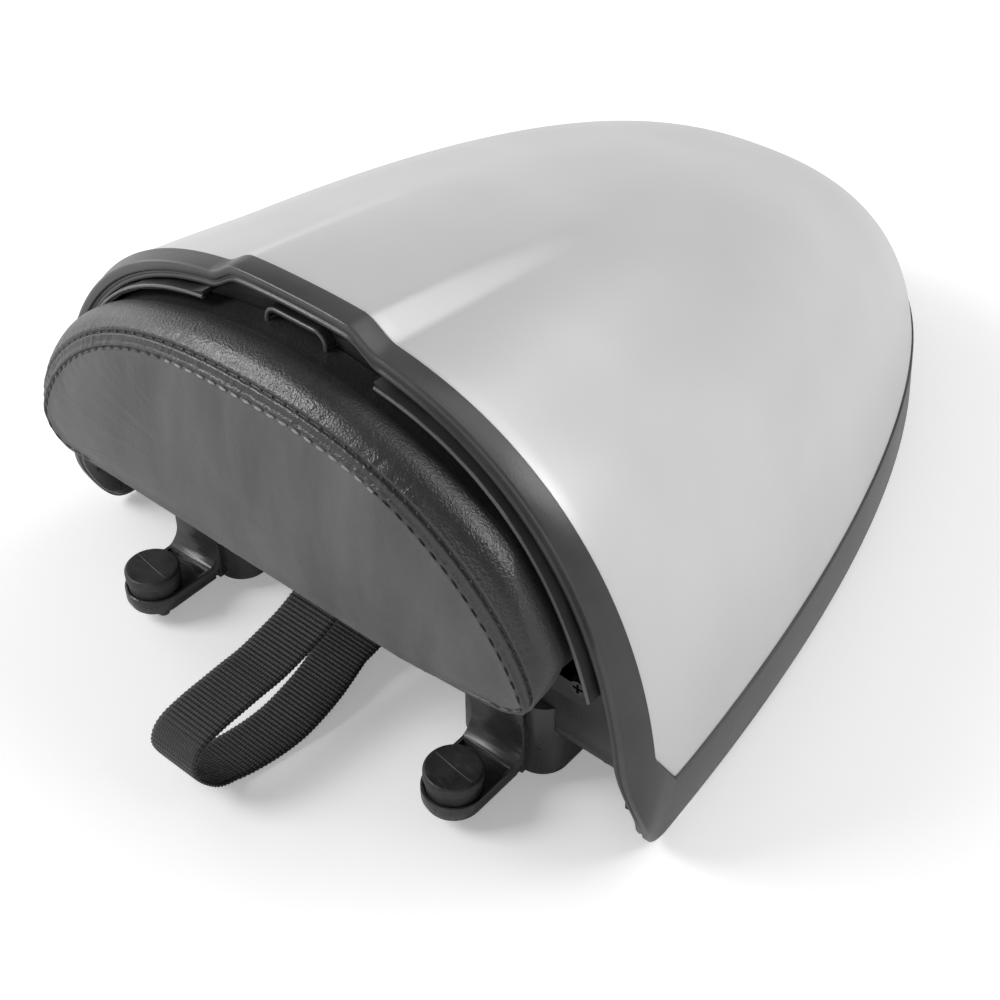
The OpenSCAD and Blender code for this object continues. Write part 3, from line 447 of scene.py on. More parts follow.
def makeShell():
    shares = columnShares(*shell["columns"])
    columns = [(0, up, d) for up, d in shell["edge"]] + [(q, 0, 0) for q in shares[1:-1]]
    columns += [(2, up, d) for up, d in reversed(shell["edge"])]
    rows = [(0, backBy, d) for backBy, d in shell["edge"]]
    quarter = math.pi / 2 / (shell["rows"] + shell["rowsShort"])
    rows += [(math.sin(quarter * i), 0, 0) for i in range(1, shell["rows"] + 1)]
    points = []
    for s, backBy, rowInset in rows:
        points += [place(*shellPoint(s, q, rowInset + columnInset, backBy, up)) for q, up, columnInset in columns]
        points += [place(*shellPoint(s, q, shell["wall"], backBy, up)) for q, up, _ in columns]
    m, w, n = len(columns), 2 * len(columns), len(rows)
    faces = []
    for i in range(n - 1):
        for k in range(m - 1):
            o = i * w + k
            faces.append((o, o + 1, o + 1 + w, o + w))
            faces.append((o + m, o + m + w, o + m + 1 + w, o + m + 1))
        for o in (i * w, i * w + m - 1):
            faces.append((o, o + w, o + w + m, o + m))
    for o in (0, (n - 1) * w):
        faces += [(o + k, o + m + k, o + m + k + 1, o + k + 1) for k in range(m - 1)]
    return makeObject("shell_smooth", points, faces, [silver])


shellPiece = makeShell()
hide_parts("cowl_shell")
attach(shellPiece, "root")
print("shell made,", len(shellPiece.data.polygons), "faces")


# Frame: the CAD's section, swept more finely and with rounded corners
held, swept, cut, fitted = 0, 1, 2, 3
rim = dict(draw=5.5, drawFrom=22, drawOver=35, drawFade=32, sweep=17, sweepHeight=55, sweepPower=2.2,
           tuck=4.5, tuckFade=260, tipRound=9, tipBelow=15, tipSteps=8, meet=16, meetAfter=4,
           sideSteps=60, sidePower=1.4, bandSteps=16, bandFade=3, columns=(60, 20, 6),
           depth=9.5, shelf=30, edgeRadius=0.3, plateDraw=3.6)
# Each corner's inset and place over the front, its inset, height and rise along the side, and its kind
frameSection = [
    (-1, 0, -1, 36.7, 3, cut), (-1, -8.3, -1, 4, 11, swept), (-0.75, -9.1, -0.4, 1.9, 11, swept),
    (0, -9.5, 0.6, 1, 11, swept), (2.4, -9.5, 1.4, 1, 11, swept), (2.9, -8.3, 1.6, 1.9, 11, swept),
    (3.7, -8.3, 1.7, 3, 11, swept), (4.2, -9.2, 1.8, 4.5, 11, swept), (5.4, -9, 1.9, 6.5, 11, swept),
    (6.8, -4, 2.2, 25.4, 0, swept), (7, -2.4, 2.5, 25.9, 0, swept), (7.9, -2.4, 3.2, 26.3, 0, fitted),
    (7.6, 4, 4, 27, 0, held), (16.6, 4, 16, 27, 0, held),
    (16.6, 6.6, 16, 30, 0, held), (10, 6.6, 5.3, 30, 0, held), (7.6, -2, 5.3, 32, 0, swept),
    (5.3, -5, 5.3, 34, 0, swept), (5.3, 9, 5.3, 46, 3, cut), (3.1, 9, 3.1, 46, 3, cut), (3.1, 0, 3.1, 36.7, 3, cut)]


def movedBack(corner, z):
    if corner[5] == swept:
        return rim["sweep"] * max(0, 1 - z / rim["sweepHeight"]) ** rim["sweepPower"]
    return cornerCut(z) if corner[5] == cut else 0


def drawnIn(corner, y, z, angle):
    if corner[5] != swept:
        return 0
    fade = rim["depth"] + rim["drawFade"] * max(0, 1 - z / rim["sweepHeight"])
    drawn = rim["draw"] * math.cos(angle) ** 2 * (1 - ease((y + rim["depth"]) / fade))
    drawn *= ease((z - rim["drawFrom"]) / rim["drawOver"])
    return drawn + rim["tuck"] * ease(1 - z / rim["shelf"]) * (1 - ease(y / rim["tuckFade"]))


# How much the hanging corner's rounding lifts a corner of the section at the tip
def tipLift(corner):
    return rim["tipRound"] if corner[5] == swept and corner[3] < rim["tipBelow"] else 0


def sidePoint(corner, i, side):
    over, ahead, inset, height, rise, _ = corner
    lift = tipLift(corner)
    start = ahead + movedBack(corner, height + lift)
    end = ridgeEnd(height, rise, inset)
    meet = max(rim["meet"], start + rim["meetAfter"])
    z = height
    if i < rim["tipSteps"]:
        u = i / rim["tipSteps"]
        bend = ahead + movedBack(corner, height) if lift else (start + meet) / 2
        y = (1 - u) ** 2 * start + 2 * u * (1 - u) * bend + u * u * meet
        z = height + lift * (1 - u) ** 2
    else:
        far = ((i - rim["tipSteps"]) / rim["sideSteps"]) ** rim["sidePower"]
        y = meet + (end - meet) * math.sin(math.pi / 2 * far)
    z = edgeHeight(z, rise, y)
    along = min(1, max(0, (y - start) / (end - start)))
    step = rim["bandSteps"] * (math.asin(along) / (math.pi / 2)) ** (2 / 3)
    d = mix(over, inset, ease(step / rim["bandFade"])) + drawnIn(corner, y, z, 0)
    atEnd = i == rim["tipSteps"] + rim["sideSteps"]
    return place(0 if atEnd else side * halfAt(y, z, d, squarenessAt(y)), y, z)


def overPoint(corner, q):
    over, ahead, _, height, _, kind = corner
    low = height + tipLift(corner)
    angle = angleOf(q, angleAt(0, low, over))
    z = domeAt(0, angle, over)[2]
    y = ahead + movedBack(corner, z)
    d = over + drawnIn(corner, y, z, angle)
    if kind == fitted:
        share = min(1, z / (dome["height"] - d)) ** dome["squareness"]
        d += rim["plateDraw"] * (1 - share) - shoulderSwell(domeAt(0, angle, over)[0], z)
        return place(*domeAt(y, angleOf(q, angleAt(y, low, d)), d, dome["squareness"]))
    return place(*domeAt(y, angleOf(q, angleAt(y, low, d)), d))


# Three points that round a corner off, reaching no further than a share of either side
def roundedCorner(before, p, after, radius, most):
    first = p.lerp(before, min(most, radius / max(1e-9, (before - p).length)))
    last = p.lerp(after, min(most, radius / max(1e-9, (after - p).length)))
    return [first, (first + 2 * p + last) / 4, last]


def roundCorners(points, radius):
    result = []
    for before, p, after in zip(points[-1:] + points[:-1], points, points[1:] + points[:1]):
        result += roundedCorner(before, p, after, radius, 0.38)
    return result


def makeFrame():
    last = rim["tipSteps"] + rim["sideSteps"]
    rows = [[sidePoint(c, i, 1) for c in frameSection] for i in range(last, -1, -1)]
    rows += [[overPoint(c, q) for c in frameSection] for q in columnShares(*rim["columns"])[1:-1]]
    rows += [[sidePoint(c, i, -1) for c in frameSection] for i in range(last)]
    rows = [roundCorners(row, rim["edgeRadius"] / 1000) for row in rows]
    faces = gridFaces(len(rows), len(rows[0]), True, True)
    return makeObject("frame_smooth", [p for row in rows for p in row], faces, [rimMoulding])


framePiece = makeFrame()
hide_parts("cowl_frame")
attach(framePiece, "root")
print("frame made,", len(framePiece.data.polygons), "faces")


# Pad: one cover over the front panel and the side strip
pad = dict(width=122, base=78.5, height=80.4, depth=31.5, crown=5, crownPower=2.2, middleShare=0.42,
           panelRound=2.7, panelPeak=1.3, backRound=1.7, cornerFront=12, cornerBack=28, drop=5, frontY=-3.5,
           backInset=11.1, backY=-3.6, puff=3.6, flatPuff=0.2, flatUnder=2, flatOver=24,
           boxingOut=[0, 0.32, 0.62, 0.86, 0.97, 1, 1], boxingBack=[0, 0.07, 0.19, 0.38, 0.57, 0.69, 1],
           boxingPuff=[0, 0.5, 1, 1, 0.6, 0, 0], fineSteps=2000, steps=(440, 12, 90),
           lift=6.5, liftFrom=60, liftOver=62, liftHeight=16)
panelInsets = [0, 0.3, 0.6, 0.95, 1.4, 2, 2.8, 4, 5.5, 7.5]
panelScales = [0.93, 0.84, 0.74, 0.63, 0.51, 0.38, 0.22, 0.08]
stripShares = [0.05, 0.11, 0.18, 0.27, 0.38, 0.5, 0.62, 0.73, 0.82, 0.89, 0.95, 1]
sideShares = [0.175, 0.185, 0.196, 0.21, 0.226] + [0.245 + 0.023 * i for i in range(33)]
seamY = pad["frontY"] - pad["depth"]
padMiddle = pad["base"] + pad["height"] * pad["middleShare"]


def padRoom(z, d):
    share = min(1, z / (dome["height"] - pad["backInset"])) ** dome["squareness"]
    return halfAt(0, z, pad["backInset"] + d + rim["plateDraw"] * (1 - share), dome["squareness"])


# Points at even distances along an open line
def evenly(line, count):
    lengths = [0]
    for p, q in zip(line, line[1:]):
        lengths.append(lengths[-1] + math.dist(p, q))
    result, at = [], 0
    for i in range(count + 1):
        target = lengths[-1] * i / count
        while at < len(line) - 2 and lengths[at + 1] < target:
            at += 1
        u = (target - lengths[at]) / max(1e-9, lengths[at + 1] - lengths[at])
        result.append((mix(line[at][0], line[at + 1][0], u), mix(line[at][1], line[at + 1][1], u)))
    return result


@lru_cache(maxsize=None)
def padLoop(v, d, archSteps, cornerSteps, bottomSteps):
    r = mix(pad["cornerFront"], pad["cornerBack"], v) - d
    base = pad["base"] - pad["drop"] * v + d
    mid = base + r
    widest = padRoom(pad["base"] - pad["drop"] + pad["cornerBack"], 0)
    half = mix(pad["width"], widest, v) - d
    top = mix(pad["base"] + pad["height"], dome["height"] - pad["backInset"], v) - d
    across = 2 / mix(pad["panelRound"], pad["backRound"], v)
    upwards = 2 / mix(pad["panelPeak"], pad["backRound"], v)
    right = []
    for i in range(cornerSteps + 1):
        t = math.pi / 2 * (i / cornerSteps - 1)
        right.append((half - r + r * math.cos(t), mid + r * math.sin(t)))
    arch = [right[-1]]
    for i in range(1, pad["fineSteps"]):
        t = math.pi * i / pad["fineSteps"]
        z = mid + (top - mid) * math.sin(t) ** upwards
        x = min(half * abs(math.cos(t)) ** across, padRoom(z, d))
        arch.append((math.copysign(x, math.cos(t)), z))
    left = [(-x, z) for x, z in reversed(right)]
    arch = evenly(arch + [left[0]], archSteps)[1:-1]
    bottom = [(mix(-half + r, half - r, i / bottomSteps), base) for i in range(1, bottomSteps)]
    return [liftedCorner(x, z, base, v) for x, z in right + arch + left + bottom]


# The cover is drawn up a little at the panel's lower right corner
def liftedCorner(x, z, base, v):
    lift = pad["lift"] * ease((x - pad["liftFrom"]) / pad["liftOver"]) * (1 - v)
    return swollen(x, z + lift * (1 - ease((z - base) / pad["liftHeight"])), v)


def padCrown(k):
    return pad["crown"] * (1 - k ** pad["crownPower"])


def smoothTable(table, t):
    at = t * (len(table) - 1)
    i = min(len(table) - 2, int(at))
    u = at - i
    p, a, b, c = (table[max(0, min(len(table) - 1, i + j))] for j in (-1, 0, 1, 2))
    return a + u * (b - p) / 2 + u * u * (2 * p - 5 * a + 4 * b - c) / 2 + u ** 3 * (3 * a - p - 3 * b + c) / 2


# Ring of the front panel: inset from its edge, then drawn to the middle
def panelRing(inset, scale, steps, shrink=0):
    edge = padLoop(0, shrink, *steps)
    ring = []
    for (x, z), (edgeX, edgeZ) in zip(padLoop(0, inset + shrink, *steps), edge):
        k = scale * math.hypot(x, z - padMiddle) / math.hypot(edgeX, edgeZ - padMiddle)
        ring.append(Vector((x * scale, seamY - padCrown(min(1, k)), padMiddle + (z - padMiddle) * scale)))
    return ring


# Ring of the side strip at share t of the way from the front panel's edge to the backing plate
def sideRing(t, steps, shrink=0):
    v = min(1, max(0, smoothTable(pad["boxingOut"], t)))
    out = pad["puff"] * max(0, smoothTable(pad["boxingPuff"], t))
    y = mix(seamY, pad["backY"], min(1, smoothTable(pad["boxingBack"], t)))
    ring = []
    flat = padLoop(v, shrink - pad["flatPuff"] * out, *steps)
    for (x, z), (flatX, flatZ) in zip(padLoop(v, shrink - out, *steps), flat):
        full = ease((z - pad["base"] + pad["flatUnder"]) / pad["flatOver"])
        ring.append(Vector((mix(flatX, x, full), y, mix(flatZ, z, full))))
    return ring


def backRing(scale, steps, shrink=0):
    return [Vector((x * scale, pad["backY"], padMiddle + (z - padMiddle) * scale))
            for x, z in padLoop(1, shrink, *steps)]


def closedCover(name, rows, materials, faceMaterial=None):
    width = len(rows[0])
    points = [p for row in rows for p in row]
    faces = gridFaces(len(rows), width, False, True)
    tags = [faceMaterial(i // width) for i in range(len(faces))] if faceMaterial else None
    front, last = rows[0], rows[-1]
    points += [sum(front, Vector()) / width, sum(last, Vector()) / width]
    offset = (len(rows) - 1) * width
    for k in range(width):
        faces.append((len(points) - 2, (k + 1) % width, k))
        faces.append((len(points) - 1, offset + k, offset + (k + 1) % width))
    if tags:
        tags += [faceMaterial(0), faceMaterial(len(rows) - 2)] * width
    return makeObject(name, [place(*p) for p in points], faces, materials, tags)


# Blows a coarse copy of the cover up like a stuffed bag, with the seams and the back held
cushion = dict(voxel=0.005, pressure=4.0, frames=20, quality=5, steps=(60, 4, 24), shrink=1.2, heldReach=0.004,
               heldBack=3, outCap=1.8, inCap=0.6, sideCap=0.7, seamFade=6, backFade=12)


def simulateCover():
    steps, shrink = cushion["steps"], cushion["shrink"]
    rows = [panelRing(0, k, steps, shrink) for k in (0.12, 0.3, 0.5, 0.7, 0.85, 0.95, 1)]
    rows += [sideRing(i / 10, steps, shrink) for i in range(1, 11)] + [backRing(0.6, steps, shrink)]
    bag = closedCover("bag", rows, [])
    remesh = bag.modifiers.new("remesh", "REMESH")
    remesh.mode = "VOXEL"
    remesh.voxel_size = cushion["voxel"]
    mesh = resultOf(bag)
    bag.modifiers.clear()
    bag.data = mesh
    seams = [place(*p) for p in panelRing(0, 1, steps) + sideRing(1 / 6, steps)]
    group = bag.vertex_groups.new(name="held")
    for vertex in mesh.vertices:
        nearest = min((vertex.co - p).length for p in seams)
        if nearest < cushion["heldReach"] or vertex.co.y > place(0, pad["backY"] - cushion["heldBack"], 0).y:
            group.add([vertex.index], 1, "REPLACE")
    cloth = bag.modifiers.new("cloth", "CLOTH")
    cloth.settings.quality = cushion["quality"]
    cloth.settings.use_pressure = True
    cloth.settings.uniform_pressure_force = cushion["pressure"]
    cloth.settings.vertex_group_mass = "held"
    cloth.settings.effector_weights.gravity = 0
    scene.frame_start, scene.frame_end = 1, cushion["frames"]
    for f in range(1, cushion["frames"] + 1):
        scene.frame_set(f)
    blown = resultOf(bag)
    tree = BVHTree.FromPolygons([v.co.copy() for v in blown.vertices], [tuple(p.vertices) for p in blown.polygons])
    moves = [(v.co - w.co).length for v, w in zip(blown.vertices, mesh.vertices)]
    print("pad simulated, largest move mm", round(1000 * max(moves), 1))
    scene.frame_set(1)
    bpy.data.objects.remove(bag)
    return tree


coverSteps = pad["steps"]
coverRows = [panelRing(panelInsets[-1], k, coverSteps) for k in reversed(panelScales)]
coverRows += [panelRing(d, 1, coverSteps) for d in reversed(panelInsets)]
edgeRing = len(coverRows) - 1
coverRows += [sideRing(share / 6, coverSteps) for share in stripShares]
seamRing = len(coverRows) - 1
coverRows += [sideRing(t, coverSteps) for t in sideShares if t < 0.999] + [sideRing(1, coverSteps)]
backRow = len(coverRows) - 1
coverRows += [backRing(k, coverSteps) for k in (0.97, 0.8, 0.4)]
coverWidth = len(coverRows[0])
coverPiece = closedCover("pad_cover", coverRows, [panelLeather, boxingLeather],
                         lambda row: 0 if row < edgeRing else 1)
coverVertices = coverPiece.data.vertices

# Signed distances in millimetres from the panel's edge and from the seam, along each column
fromEdge, fromSeam, along = [], [], [0]
for k in range(coverWidth):
    lengths = [0]
    for before, after in zip(coverRows, coverRows[1:backRow + 1]):
        lengths.append(lengths[-1] + (after[k] - before[k]).length)
    fromEdge.append([far - lengths[edgeRing] for far in lengths])
    fromSeam.append([far - lengths[seamRing] for far in lengths])
    along.append(along[-1] + (coverRows[edgeRing][(k + 1) % coverWidth] - coverRows[edgeRing][k]).length)

blownTree = simulateCover()
normals = [v.normal.copy() for v in coverVertices]
for index in range((backRow + 1) * coverWidth):
    ring, k = divmod(index, coverWidth)
    vertex = coverVertices[index]
    hit, normal, _, _ = blownTree.find_nearest(vertex.co)
    cap = cushion["outCap" if ring < edgeRing else "sideCap"]
    push = min(cap, max(-cushion["inCap"], 1000 * (hit - vertex.co).dot(normals[index])))
    share = ease(abs(fromEdge[k][ring]) / cushion["seamFade"])
    share *= ease(abs(fromSeam[k][ring]) / cushion["seamFade"])
    share *= ease((fromEdge[k][backRow] - fromEdge[k][ring]) / cushion["backFade"])
    vertex.co += normals[index] * push * share / 1000
coverPiece.data.update()

# Relief: the strip's edge laid over the panel, the seam's groove, and the wrinkles beside them.
# Each ripple and fold gives its height, pitch, reach and seed
relief = dict(edgeRise=0.46, edgeAt=0.9, edgeWidth=0.75, edgeGroove=0.75, grooveAt=-0.5, grooveWidth=0.5,
              underHalf=98, underOver=12, underHeight=8, underFade=6, underLoss=0.85,
              seamGroove=0.95, seamWidth=0.62, seamSwell=0.22, swellAt=1.5, swellWidth=0.8, bunchPitch=23,
              pucker=0.36, puckerPitch=1.7, puckerReach=5.5, puckerSlant=0.25, puckerSeed=3,
              panelPucker=0.12, panelPitch=2.6, panelReach=5, panelSeed=9,
              hang=0.36, hangPitch=4.2, hangSlant=0.15, hangSeed=6, sag=0.4, sagPitch=34,
              fold=0.55, foldPitch=3.6, foldReach=17, foldIn=6, foldUp=4, foldSeed=12, backFade=8)


def bell(x, width):
    return math.exp(-(x / width) ** 2)


# Two waves of noise, the second finer and half as high
def ripple(at, across, pitch, seed):
    coarse = noise.noise(Vector((at / pitch, across, seed)))
    return coarse + 0.5 * noise.noise(Vector((at * 2.3 / pitch, across, seed)))


def reliefAt(p, edge, seam, back, at):
    under = ease((relief["underHalf"] - abs(p.x)) / relief["underOver"])
    under *= ease((pad["base"] + relief["underHeight"] - p.z) / relief["underFade"])
    height = relief["edgeRise"] * bell(edge - relief["edgeAt"], relief["edgeWidth"])
    height -= relief["edgeGroove"] * bell(edge - relief["grooveAt"], relief["grooveWidth"])
    height *= 1 - relief["underLoss"] * under
    height += relief["seamSwell"] * bell(abs(seam) - relief["swellAt"], relief["swellWidth"])
    height -= relief["seamGroove"] * bell(seam, relief["seamWidth"])
    if edge > 0:
        bunches = ease(0.35 + 1.3 * noise.noise(Vector((at / relief["bunchPitch"], 5, 2))))
        reach = bell(max(0, seam) / relief["puckerReach"], 1) * ease(abs(seam) / 0.8) * ease(edge / 1.2)
        wave = ripple(at + relief["puckerSlant"] * seam, seam / 9, relief["puckerPitch"], relief["puckerSeed"])
        height += relief["pucker"] * (0.35 + bunches) * wave * reach
        corner = math.hypot(abs(p.x) - pad["width"] + relief["foldIn"], p.z - pad["base"] - relief["foldUp"])
        fold = relief["fold"] * bell(corner / relief["foldReach"], 1)
        fold *= ripple(at, edge / 25, relief["foldPitch"], relief["foldSeed"])
        height += fold * ease(edge / 3)
    else:
        reach = bell(edge / relief["panelReach"], 1) * ease(-edge / 1.2)
        height += relief["panelPucker"] * ripple(at, edge / 12, relief["panelPitch"], relief["panelSeed"]) * reach
        folds = ease(0.2 + 1.5 * noise.noise(Vector((p.x / 45, p.z / 60, 4))))
        wave = ripple(p.x + relief["hangSlant"] * p.z, p.z / 38, relief["hangPitch"], relief["hangSeed"])
        height += relief["hang"] * folds * wave * ease(-edge / 4)
    height += relief["sag"] * noise.noise(p / relief["sagPitch"]) * ease(abs(edge) / 12) * ease(abs(seam) / 10)
    return height * ease(back / relief["backFade"])


normals = [v.normal.copy() for v in coverVertices]
for index in range(backRow * coverWidth):
    ring, k = divmod(index, coverWidth)
    back = fromEdge[k][backRow] - fromEdge[k][ring]
    height = reliefAt(coverRows[ring][k], fromEdge[k][ring], fromSeam[k][ring], back, along[k])
    coverVertices[index].co += normals[index] * height / 1000
coverPiece.data.update()
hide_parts("pad_panel", "pad_boxing")
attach(coverPiece, "root")

# Foam core, the same form drawn in
filling = dict(inset=2.8, steps=(90, 5, 30), scales=(0.15, 0.4, 0.65, 0.85, 0.96, 1), sideFrom=0.3, sideRows=8)
behind = Vector((0, filling["inset"], 0))
coreRows = [[p + behind for p in panelRing(0, k, filling["steps"], filling["inset"])] for k in filling["scales"]]
for i in range(filling["sideRows"] + 1):
    t = filling["sideFrom"] + (1 - filling["sideFrom"]) * i / filling["sideRows"]
    coreRows.append(sideRing(t, filling["steps"], filling["inset"]))
core = closedCover("foam_core", coreRows, [foam])
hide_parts("pad_foam")
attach(core, "root")
print("pad cover made,", len(coverPiece.data.polygons), "faces")


# Stitches laid along a closed line by Geometry Nodes
def stitchGroup(name, material):
    tree = bpy.data.node_groups.new(name, "GeometryNodeTree")
    tree.interface.new_socket("Geometry", in_out="INPUT", socket_type="NodeSocketGeometry")
    for label in ("Spacing", "Length", "Thickness", "Jitter"):
        tree.interface.new_socket(label, in_out="INPUT", socket_type="NodeSocketFloat")
    tree.interface.new_socket("Seed", in_out="INPUT", socket_type="NodeSocketInt")
    tree.interface.new_socket("Geometry", in_out="OUTPUT", socket_type="NodeSocketGeometry")
    given = tree.nodes.new("NodeGroupInput").outputs
    out = tree.nodes.new("NodeGroupOutput")
    points = addNode(tree, "GeometryNodeCurveToPoints", {"Curve": given["Geometry"], "Length": given["Spacing"]},
                     mode="LENGTH")
    turn = addNode(tree, "FunctionNodeAlignRotationToVector", {"Vector": points.outputs["Tangent"]}, axis="X")
    jitter = addNode(tree, "FunctionNodeRandomValue", {"Seed": given["Seed"]}, data_type="FLOAT")
    spread = addUp(tree, addUp(tree, jitter.outputs[1], 0.5, "SUBTRACT"), given["Jitter"], "MULTIPLY")
    tilt = addNode(tree, "ShaderNodeCombineXYZ", {"Z": spread})
    tilted = addNode(tree, "FunctionNodeRotateRotation",
                     {"Rotation": turn.outputs[0],
                      "Rotate By": addNode(tree, "FunctionNodeEulerToRotation", {0: tilt.outputs[0]}).outputs[0]})
    bead = addNode(tree, "GeometryNodeMeshUVSphere", {"Segments": 10, "Rings": 7, "Radius": 0.5})
    size = addNode(tree, "ShaderNodeCombineXYZ", {"X": given["Length"], "Y": given["Thickness"],
                                                  "Z": given["Thickness"]})
    laid = addNode(tree, "GeometryNodeInstanceOnPoints",
                   {"Points": points.outputs["Points"], "Instance": bead.outputs["Mesh"],
                    "Rotation": tilted.outputs[0], "Scale": size.outputs[0]})
    real = addNode(tree, "GeometryNodeRealizeInstances", {"Geometry": laid.outputs[0]})
    smoothed = addNode(tree, "GeometryNodeSetShadeSmooth", {"Geometry": real.outputs[0]})
    painted = addNode(tree, "GeometryNodeSetMaterial", {"Geometry": smoothed.outputs[0], "Material": material})
    tree.links.new(painted.outputs[0], out.inputs[0])
    return tree


# A curve through a line of points
def makeLine(name, line, closed=False):
    curve = bpy.data.curves.new(name, "CURVE")
    curve.dimensions = "3D"
    spline = curve.splines.new("POLY")
    spline.points.add(len(line) - 1)
    for point, p in zip(spline.points, line):
        point.co = (*p, 1)
    spline.use_cyclic_u = closed
    return addObject(name + "_line", curve)


def makeStitches(name, line, closed, material, length, thickness, jitter, seed):
    carrier = makeLine(name, line, closed)
    tree = stitchGroup(name, material)
    modifier = carrier.modifiers.new("stitches", "NODES")
    modifier.node_group = tree
    values = {"Spacing": stitching["spacing"], "Length": length, "Thickness": thickness, "Jitter": jitter,
              "Seed": seed}
    for item in tree.interface.items_tree:
        if item.in_out == "INPUT" and item.name in values:
            modifier[item.identifier] = values[item.name]
    mesh = resultOf(carrier)
    bpy.data.objects.remove(carrier)
    piece = addObject(name, mesh)
    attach(piece, "root")
    print(name, "laid,", len(mesh.polygons), "faces")


# In metres: the light stitches run over the arch only, and the dark ones, painted shade where the same seam lies in
# shade, end at the lower left corner; the seam's holes are dark beads, painted shade
stitching = dict(spacing=0.0055, length=0.0038, thickness=0.001, darkThickness=0.0008, jitter=0.25, edgeLift=0.0008,
                 lightFrom=0.06, lightTo=-0.036, lowFrom=-0.1, lowHeight=0.09,
                 holeLength=0.0015, holeWidth=0.0011, holeJitter=0.3, seamLift=0.0001)


# A ring's points, moved out along the cover's normals
def ringLine(ring, lift):
    picked = [coverVertices[ring * coverWidth + k] for k in range(coverWidth)]
    return [v.co + v.normal * lift for v in picked]


edgeLine = ringLine(edgeRing - 1, stitching["edgeLift"])
archFrom = next(k for k, p in enumerate(edgeLine) if p.x < stitching["lightFrom"])
archTo = next(k for k, p in enumerate(edgeLine) if p.x < stitching["lightTo"])
lowEnd = next(k for k, p in enumerate(edgeLine)
              if k > coverWidth / 2 and p.x > stitching["lowFrom"] and p.z < stitching["lowHeight"])
for name, line, material, thickness, seed in (
        ("edge_stitches", edgeLine[archFrom:archTo], thread, stitching["thickness"], 3),
        ("edge_stitches_right", edgeLine[:archFrom], paintedShadeThread, stitching["darkThickness"], 4),
        ("edge_stitches_left", edgeLine[archTo:lowEnd], paintedShadeThread, stitching["darkThickness"], 6)):
    makeStitches(name, line, False, material, stitching["length"], thickness, stitching["jitter"], seed)
# The seam's holes are dark beads: painted shade
makeStitches("seam_stitches", ringLine(seamRing, stitching["seamLift"]), True, paintedShadeThread,
             stitching["holeLength"], stitching["holeWidth"], stitching["holeJitter"], 5)


# Pull strap: webbing with cross ribs, skewed sideways near its fold
strap = dict(width=24.2, thickness=1.6, pitch=1.85, rib=0.34, samples=6, across=12, edge=0.45, edgeFrom=0.82,
             edgeSlope=0.6, ribOut=0.9, skew=5, skewFrom=0.49, skewOver=0.24, wander=0.12, wanderPitch=60, finer=24,
             route=[(5.5, 68), (5.5, 58), (4.6, 51.5), (-2, 46.5), (-11, 43.5), (-19, 40), (-28, 37.5), (-41, 35),
                    (-52, 34.5), (-61, 34), (-71, 33.5), (-80, 32), (-85, 29), (-87.5, 24), (-87, 19), (-84, 13),
                    (-78, 6), (-70, 2.4), (-62, 1.4), (-54, 1.3), (-46, 1.5), (-38, 2.3), (-28, 4), (-15, 6),
                    (0, 8.5), (14, 11.5), (30, 17), (46, 24.5), (56, 28.3), (66, 28.9), (78, 28.9)])


def strapLine():
    count = (len(strap["route"]) - 1) * strap["finer"]
    rough = [Vector([smoothTable(values, j / count) for values in zip(*strap["route"])]) for j in range(count + 1)]
    step = strap["pitch"] / strap["samples"]
    line, far = [rough[0]], 0
    for p, q in zip(rough, rough[1:]):
        length = (q - p).length
        while far + length >= step:
            p = p.lerp(q, (step - far) / length)
            length = (q - p).length
            far = 0
            line.append(p)
        far += length
    return line


def makeStrap():
    line = strapLine()
    rows = []
    for j, p in enumerate(line):
        ahead = (line[min(len(line) - 1, j + 1)] - line[max(0, j - 1)]).normalized()
        side = Vector((-ahead.y, ahead.x))
        rib = strap["rib"] * (math.cos(2 * math.pi * j / strap["samples"]) - 1) / 2
        below = (j / len(line) - strap["skewFrom"]) / strap["skewOver"]
        wander = strap["wander"] * noise.noise(Vector((j / strap["wanderPitch"], 0, 3)))
        wander += strap["skew"] * math.sin(math.pi * below) if 0 < below < 1 else 0
        ring = []
        for face in (1, -1):
            for k in range(strap["across"] + 1):
                share = (k / strap["across"] - 0.5) * face
                x = share * (strap["width"] + strap["ribOut"] * rib)
                edge = strap["edge"] * max(0, abs(share) * 2 - strap["edgeFrom"]) / (1 - strap["edgeFrom"])
                thick = strap["thickness"] / 2 - edge * strap["edgeSlope"] + rib
                q = p + side * face * thick
                ring.append(place(x + wander, q.x, q.y))
        rows.append(ring)
    width = len(rows[0])
    points = [p for row in rows for p in row]
    faces = gridFaces(len(rows), width, False, True)
    faces += [tuple(range(width)), tuple((len(rows) - 1) * width + k for k in reversed(range(width)))]
    return makeObject("strap_webbing", points, faces, [webbing])


strapPiece = makeStrap()
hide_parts("pull_strap")
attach(strapPiece, "root")
print("strap made,", len(strapPiece.data.polygons), "faces")


# Rubber buffers, turned
buffer = dict(frontX=83, frontY=-26, plateTop=14, seat=11.5, height=10, radius=11.5, frontRound=0.3, stem=4,
              rearX=55, rearY=255, rearHeight=12, rearRadius=12, rearRound=0.4, segments=72)
parting = dict(inset=1.2, half=0.4, height=0.24, sink=0.12, foot=0.3, slope=0.5, turned=-0.12,
               faces=((0, 1, 4, 3), (1, 2, 5, 4), (3, 4, 7, 6), (4, 5, 8, 7), (6, 7, 10, 9), (7, 8, 11, 10),
                      (0, 3, 5, 2), (3, 6, 8, 5), (6, 9, 11, 8), (0, 2, 1), (9, 10, 11)))


def roundProfile(profile, radius):
    corners = [Vector(p) for p in profile]
    result = [corners[0]]
    for before, p, after in zip(corners, corners[1:], corners[2:]):
        result += roundedCorner(before, p, after, radius, 0.45)
    return result + [corners[-1]]
